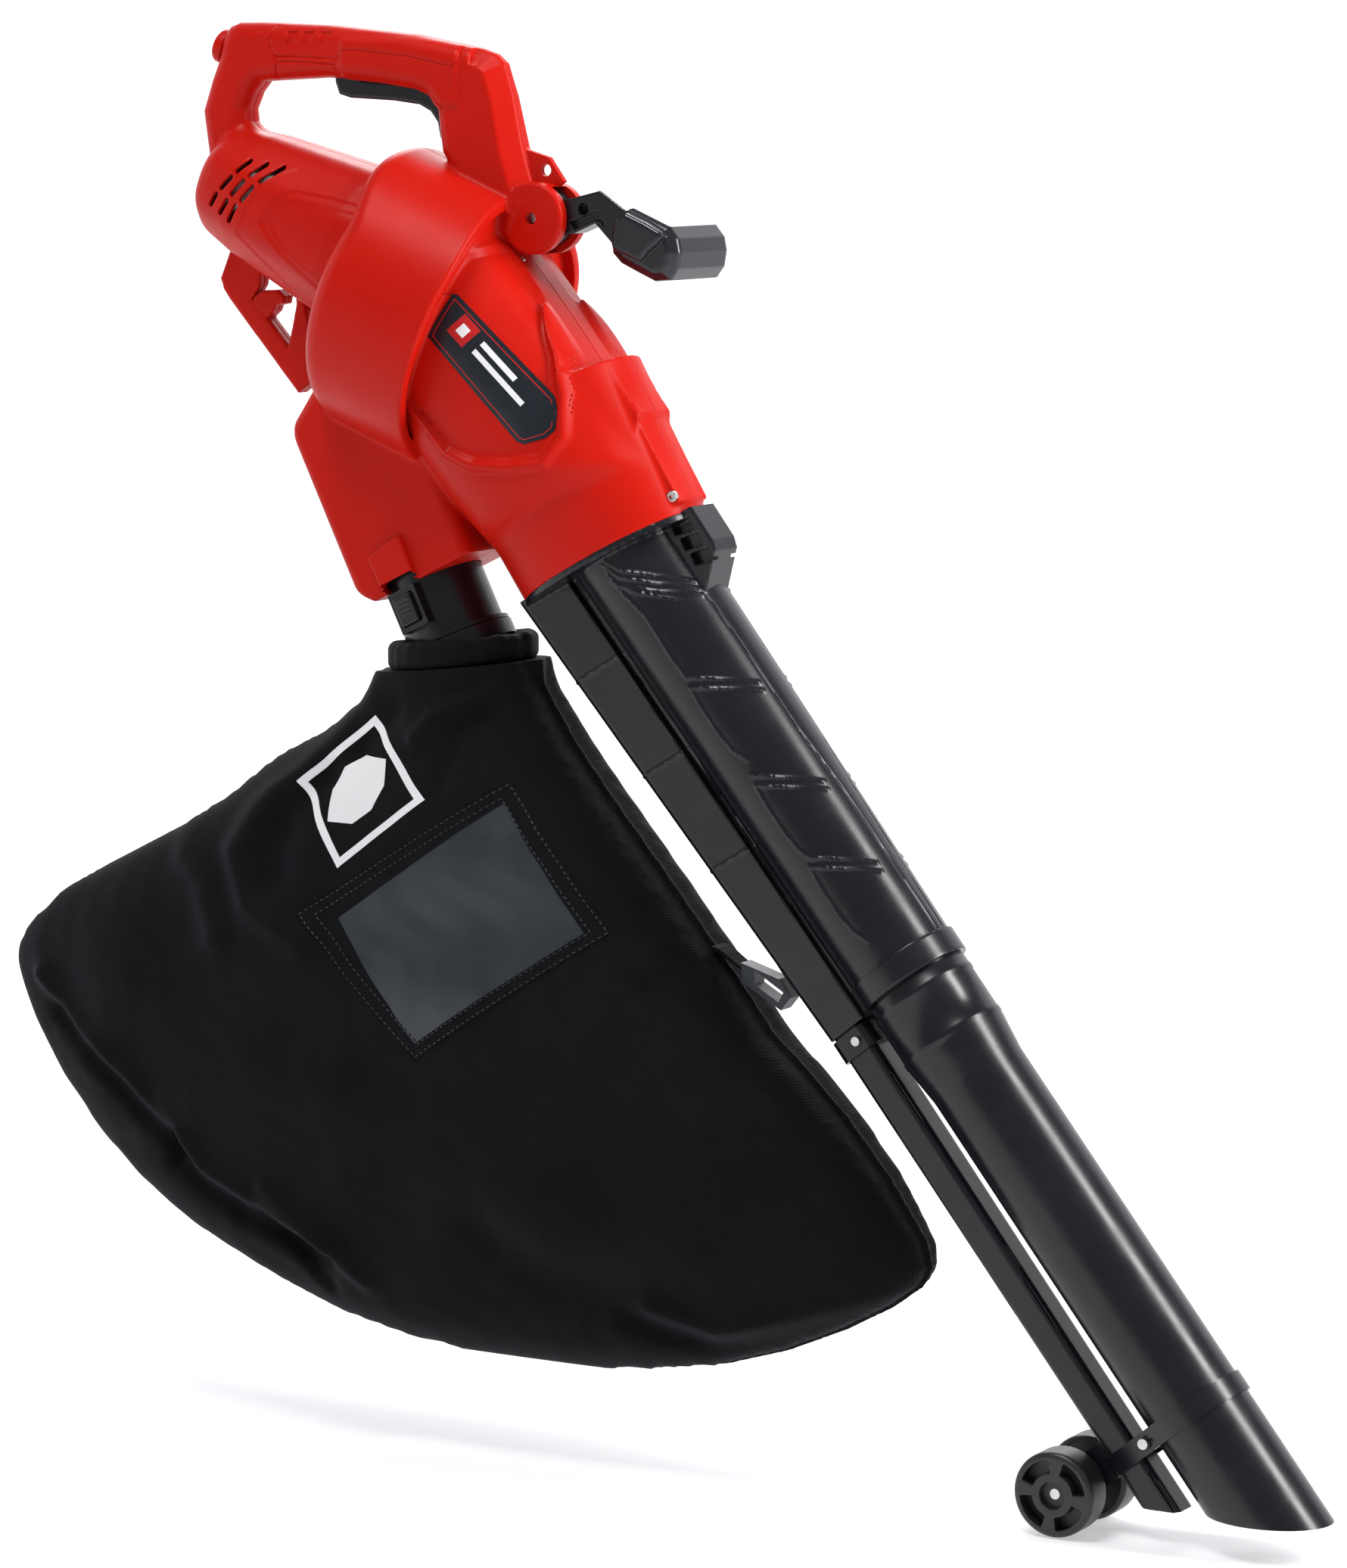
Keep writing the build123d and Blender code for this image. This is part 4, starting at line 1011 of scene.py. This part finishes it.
def latch_field(x, y, z):
    g, h = spigot_frame(x, z)
    body = meet(box2(g + 3, h - 18.5, 8.4, 11.9, 2.5), np.abs(y + 47.6) - 4.0, 1.0)
    for step in range(4):
        rib = box2(h - 11 - 3.6 * step, y + 51.6, 0.7, 0.7, 0.5)
        body = smooth_min(body, np.maximum(rib, np.abs(g + 3) - 5.5 + 0.5 * step), 0.6)
    return np.maximum(body, -np.maximum(np.hypot(g + 3, h - 18.5) - 3.7, -47.0 - y))


def bolt_field(x, y, z):
    reach = pivot_reach(x, z)
    head = np.maximum(reach - 4.3, np.abs(y + 11) - 2.5)
    slot = np.maximum(np.abs(x - PIVOT[0] - 0.4 * (z - PIVOT[1])) - 0.7, y + 12.4)
    shank = np.maximum(reach - 3.6, np.abs(y - 5) - 16)
    return np.maximum(np.minimum(head, shank), -slot)


def build_trigger_spring():
    """Wire coil between the trigger's pocket and the switch."""
    turns, steps, around, wire, radius = 7, 22, 8, 0.45, 2.8
    low, high, vertices = -29.2, -13.6, []
    count = turns * steps + 1
    for k in range(count):
        a, rise = 2 * pi * k / steps, low + (high - low) * k / (count - 1)
        for j in range(around):
            b = 2 * pi * j / around
            r = radius + wire * cos(b)
            vertices.append((TRIGGER_SPRING_X + r * cos(a), r * sin(a), rise + wire * sin(b)))
    faces = ring_faces(count, around, False)
    faces += [tuple(range(around)), tuple(range((count - 1) * around, count * around))[::-1]]
    coil = mesh_piece("trigger_spring_coil", vertices, faces)
    settle(coil, SLOTS["trigger_spring"], "trigger_spring")
    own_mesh(coil)


FOOT_SCREW = (319, -333)


def foot_screw_field(x, y, z):
    reach = np.hypot(x - FOOT_SCREW[0], z - FOOT_SCREW[1])
    lobes = reach - 2.1 - 0.45 * np.cos(6 * np.arctan2(z - FOOT_SCREW[1], x - FOOT_SCREW[0]))
    head = meet(reach - 4.3, np.abs(y + 21.8) - 1.9, 0.6)
    return np.maximum(head, -np.maximum(lobes, y + 22.3))


def impeller_field(x, y, z):
    n, m = motor_frame(x, z)
    rho = np.hypot(n, y)
    turn = np.arctan2(y, n) * 8 / (2 * pi)
    off = np.abs(turn - np.round(turn)) * 2 * pi / 8 * rho
    plate = meet(rho - 74, np.abs(m + 9) - 1.8, 1)
    blade = np.maximum(np.maximum(off - 1.6, rho - 73 + 0.5 * np.maximum(m, 0)), np.maximum(-9 - m, m - 20))
    return np.maximum(np.minimum(np.minimum(plate, blade), np.maximum(rho - 14, np.abs(m) - 20)), 5.0 - rho)


def build_controls():
    rows = [("aux_arm", arm_field, (168, 275, 1.0), (-12, 12, 1.0), (-151, -100, 1.0), "black_plastic",
             "aux_handle"),
            ("aux_grip", aux_grip_field, (250, 316, 1.1), (-15, 84, 1.1), (-177, -112, 1.1), "black_plastic",
             "aux_handle", "grip_gloss"),
            ("trigger", trigger_field, (1, 118, 1.1), (-9, 9, 0.9),
    (-74, 0, 1.0), "black_plastic", "trigger"),
            ("speed_dial", dial_field, (-122, -78, 0.9), (-16, 16, 0.9), (-14, 24, 0.9), "housing_red",
             "speed_dial"),
            ("latch_button", latch_field, (78, 118, 0.7), (-53.5, -42.5, 0.7), (-447, -405, 0.7),
             "black_plastic", "latch_button"),
            ("impeller", impeller_field, (20, 130, 2.0), (-77, 77, 2.0),
    (-250, -85, 2.0), "aluminium", "rotor")]
    for name, field, x_range, y_range, z_range, slot, body, *material in rows:
        grid = spaced(*x_range), spaced(*y_range), spaced(*z_range)
        add_solid(name + "_moulding", field, grid, slot, name, body,
    material=material[0] if material else None)
    build_trigger_spring()
    grid = spaced(314, 324, 0.35), spaced(-24.6, -19, 0.4), spaced(-338, -328, 0.35)
    add_solid("foot_screw", foot_screw_field, grid, "steel")
    grid = spaced(186, 199, 0.6), spaced(-15, 23, 0.8), spaced(-132, -119, 0.6)
    add_solid("pivot_bolt_moulding", bolt_field, grid, "steel", "pivot_bolt")


# Bag ---------------------------------------------------------------------------------------------

BAG = [
    (62, -470), (40, -503), (6, -530), (-40, -552), (-84, -585), (-130, -612), (-178, -636), (-226, -660),
    (-256, -677), (-290, -706), (-306, -727), (-303, -746), (-281, -789), (-251, -833), (-215, -872),
    (-182, -903), (-120, -942), (-43, -975), (20, -996), (91, -1010), (160, -1015), (237, -1016),
    (300, -1010), (356, -1001), (410, -984), (460, -962), (500, -940), (524, -922), (531, -908), (526, -890),
    (495, -845), (459, -803), (425, -770), (394, -743), (366, -707), (339, -675), (300, -628), (252, -572),
    (218, -530), (188, -484), (182, -466)]
BAG_AXIS_X = 118
BAG_LOW, BAG_HIGH = (-330.0, -1040.0), (550.0, -440.0)
RIDGES = [
    ([(227, -472), (191, -485), (155, -493), (130, -506), (116, -524)], 9, 10),
    ([(109, -494), (84, -512), (62, -540)], 10, -6), ([(170, -505), (150, -520), (138, -560)], 12, -6),
    ([(62, -481), (35, -520), (10, -556), (-30, -590), (-48, -623), (-26, -662), (23, -687)], 15, 11),
    ([(30, -560), (0, -590), (-10, -640)], 18, -10), ([(-120, -615), (-80, -650), (-62, -690)], 16, 9),
    ([(-256, -742), (-205, -782), (-150, -815), (-110, -850), (-80, -884), (-30, -905), (40, -930)], 9, 9),
    ([(-235, -770), (-180, -812), (-130, -850), (-95, -890), (-40, -918), (30, -945)], 11, -9),
    ([(-128, -830), (-112, -850), (-118, -880)], 8, -7), ([(-20, -892), (20, -915), (70, -958)], 9, 7),
    ([(-30, -912), (0, -935), (30, -965)], 8, -6),
    ([(324, -950), (379, -967), (419, -957), (458, -945), (515, -930)], 8, 7),
    ([(300, -962), (370, -983), (430, -972), (480, -955)], 9, -7),
    ([(401, -752), (417, -764), (424, -790)], 9, 6), ([(357, -632), (345, -662), (310, -684)], 12, 6),
    ([(372, -668), (352, -690), (316, -706)], 12, -6), ([(210, -500), (250, -560), (300, -625)], 10, 4),
    ([(60, -800), (140, -850), (240, -880)], 30, 5), ([(-150, -740), (-60, -780), (20, -800)], 34, 5),
    ([(330, -780), (360, -840), (350, -900)], 26, 5), ([(180, -900), (240, -940), (300, -945)], 20, -5)]
WINDOW_FRAME = [(17, -666), (199, -551), (292, -664), (130, -774)]
PRINTED_FRAME = [(7, -565), (71, -511), (130, -571), (53, -629)]
PRINTED_LEAF = [
    (40, -594), (38, -570), (48, -552), (66, -542), (88, -543), (90, -563), (81, -582), (64, -594)]
STRAP = [
    (346, -681), (352, -682.5), (360, -687), (368, -691), (372, -693), (371, -690.5), (366, -687.5),
    (359, -682.5), (352, -678.5), (346, -677)]
WINDOW = [(57, -667), (196, -570), (269, -665), (131, -759)]


def bag_chart(values, step):
    chart = Chart(lambda x, z: 0.0 * (x + z), BAG_LOW, BAG_HIGH, step)
    chart.values = values.astype(np.float32)
    return chart


def inflate():
    """Half thickness of a two-sheet bag under light pressure, from a relaxed membrane."""
    outline = polygon(BAG)
    level, mask_step = None, 16.0
    while mask_step >= 4.0:
        xs = np.arange(BAG_LOW[0], BAG_HIGH[0] + 1, mask_step)
        zs = np.arange(BAG_LOW[1], BAG_HIGH[1] + 1, mask_step)
        mask = outline(xs[:, None], zs[None, :]) < 0
        if level is None:
            level = np.zeros(mask.shape)
        else:
            chart = bag_chart(level, mask_step * 2)
            level = chart(xs[:, None] + 0 * zs, zs[None, :] + 0 * xs[:, None]).astype(float)
        for _ in range(700 if mask_step > 8 else 250):
            around = sum(np.roll(level, by, axis) for axis in (0, 1) for by in (1, -1))
            level = np.where(mask, 0.25 * (around + mask_step ** 2 * 0.001), 0)
        mask_step /= 2
    return bag_chart(level / level.max(), 4.0)


def folds(x, z):
    rise = 0.0 * (x + z)
    for line, width, height in RIDGES:
        rise = rise + height * np.exp(-(path(line)(x, z) / width) ** 2)
    rise = rise + 2.4 * np.sin(x * 0.021 + z * 0.027 + 1.7 * np.sin(x * 0.013 - z * 0.02))
    rise = rise + 0.8 * np.sin(x * 0.061 - z * 0.043 + 2.1 * np.sin(z * 0.031 + x * 0.011))
    return rise + 0.25 * np.sin(x * 0.15 + z * 0.11 + 2.4 * np.sin(z * 0.06 - x * 0.03))


def fold_chart(flip):
    return Chart(lambda x, z: folds(x + 37 * flip, z - 23 * flip) * (1 - 0.5 * flip), BAG_LOW, BAG_HIGH, 1.5)


membrane = inflate()
bag_outline = Chart(polygon(BAG), BAG_LOW, BAG_HIGH, 2.0)
near_folds, far_folds = fold_chart(0), fold_chart(1)


def bag_height(x, z, chart, reach):
    flat = membrane(x, z)
    fade = np.clip(-bag_outline(x, z) / 26, 0, 1)
    height = reach * np.maximum(flat, 0) ** 0.32 + chart(x, z) * fade
    return np.where(bag_outline(x, z) < 0, np.maximum(height, 0), -bag_outline(x, z))


def bag_field(x, y, z):
    near = -y - bag_height(x, z, near_folds, 96)
    far = y - bag_height(x, z, far_folds, 92)
    slack = np.clip(-bag_outline(x, z) / 60, 0.25, 1)
    pillow = np.maximum(near, far) * slack
    seam = np.hypot(bag_outline(x, z), y) - 2.6
    level = z + 473 - 0.1 * (x - BAG_AXIS_X)
    turn = np.arctan2(y, x - BAG_AXIS_X)
    drop = np.clip(-level, 0, 200)
    pleats = 2.5 * np.sin(7 * turn + 1.3 * np.sin(3 * turn)) * np.clip(drop / 30, 0, 1)
    neck = np.hypot((x - BAG_AXIS_X + 0.10 * drop) * 0.94, y) - 54 - pleats + 0.0026 * drop ** 2
    neck = smooth_max(neck, np.maximum(level, -95 - level), 8)
    body = smooth_min(np.minimum(pillow, seam), neck, 26)
    return np.maximum(body, level)


def hem_field(x, y, z):
    level = z + 463 - 0.1 * (x - BAG_AXIS_X)
    r = np.hypot(x - BAG_AXIS_X, y)
    turn = np.arctan2(y, x - BAG_AXIS_X)
    puff = 1.6 * np.sin(7 * turn + 2 * np.sin(2 * turn)) + 0.7 * np.sin(23 * turn)
    roll = meet(np.abs(r - 50) - 8.5 - 0.4 * puff, np.abs(level - 0.4 * puff) - 11.5, 7)
    return np.maximum(roll, 39.6 - r)


near_bag = surface_finder(bag_field, -135.0, -2.0, 20)


def build_bag():
    grid = spaced(-318, 540, 3.3), spaced(-118, 112, 3.3), spaced(-1026, -452, 3.3, (-560, -452, 2.2))
    add_solid("bag_cloth_shell", bag_field, grid, "bag_cloth", "bag_body", sharp=60)
    grid = spaced(54, 182, 1.6), spaced(-64, 64, 1.6), spaced(-486, -440, 1.5)
    add_solid("bag_hem_roll", hem_field, grid, "bag_cloth", "bag_hem", sharp=60)
    border = patch("window_border", shrink(WINDOW_FRAME, 0.97), near_bag, 1.2, 2.4, 5.0, hole=WINDOW)
    settle(border, "bag_cloth")
    settle(patch("window_pane", shrink(WINDOW, 1.04), near_bag, 0.7, 1.0, 5.0), "window_film", "bag_window")
    for name, outline, hole in (("printed_frame", PRINTED_FRAME, shrink(PRINTED_FRAME, 0.86)),
                                ("printed_leaf", PRINTED_LEAF, None)):
        printed = patch(name, outline, near_bag, 0.5, 0.8, 3.0, hole=hole)
        settle(printed, "bag_cloth", material="print_white")
    stitches(WINDOW_FRAME, (0.955, 0.86))
    grid = spaced(343, 375, 0.7), spaced(-11, 11, 1.0), spaced(-696, -674, 0.6)
    add_solid("strap_webbing", lambda x, y, z: meet(polygon(STRAP)(x, z), np.abs(y) - 9.5, 0.6), grid,
              "bag_cloth", "bag_strap")


def stitches(outline, shares):
    """Two rows of raised thread runs round the window."""
    vertices, faces = [], []
    for share in shares:
        path_points = resample(shrink(outline, share), 2.6)
        for k in range(0, len(path_points) - 1, 2):
            a, b = np.array(path_points[k]), np.array(path_points[k + 1])
            along = (b - a) / max(np.hypot(*(b - a)), 1e-6)
            side = np.array((-along[1], along[0])) * 0.45
            corners = [a - side, b - side, b + side, a + side]
            base = len(vertices)
            for lift in (1.0, 1.75):
                for c in corners:
                    y = float(near_bag(np.array([c[0]]), np.array([c[1]]))[0]) - lift
                    vertices.append((c[0] * MM, y * MM, c[1] * MM))
            for quad in ((0, 1, 2, 3), (7, 6, 5, 4), (0, 4, 5, 1), (1, 5, 6, 2), (2, 6, 7, 3), (3, 7, 4, 0)):
                faces.append([base + q for q in quad])
    mesh = bpy.data.meshes.new("window_stitches")
    mesh.from_pydata(vertices, [], faces)
    settle(link("window_stitches", mesh), "bag_cloth", material="thread")


for name, piece in NODES.items():
    piece.data.materials.clear()
    piece.data.materials.append(MATERIALS[SLOTS[name]])

bpy.context.scene.view_settings.view_transform = "Standard"
add_camera()
add_studio()
build_housing()
build_badge()
build_tubes()
build_controls()
build_bag()
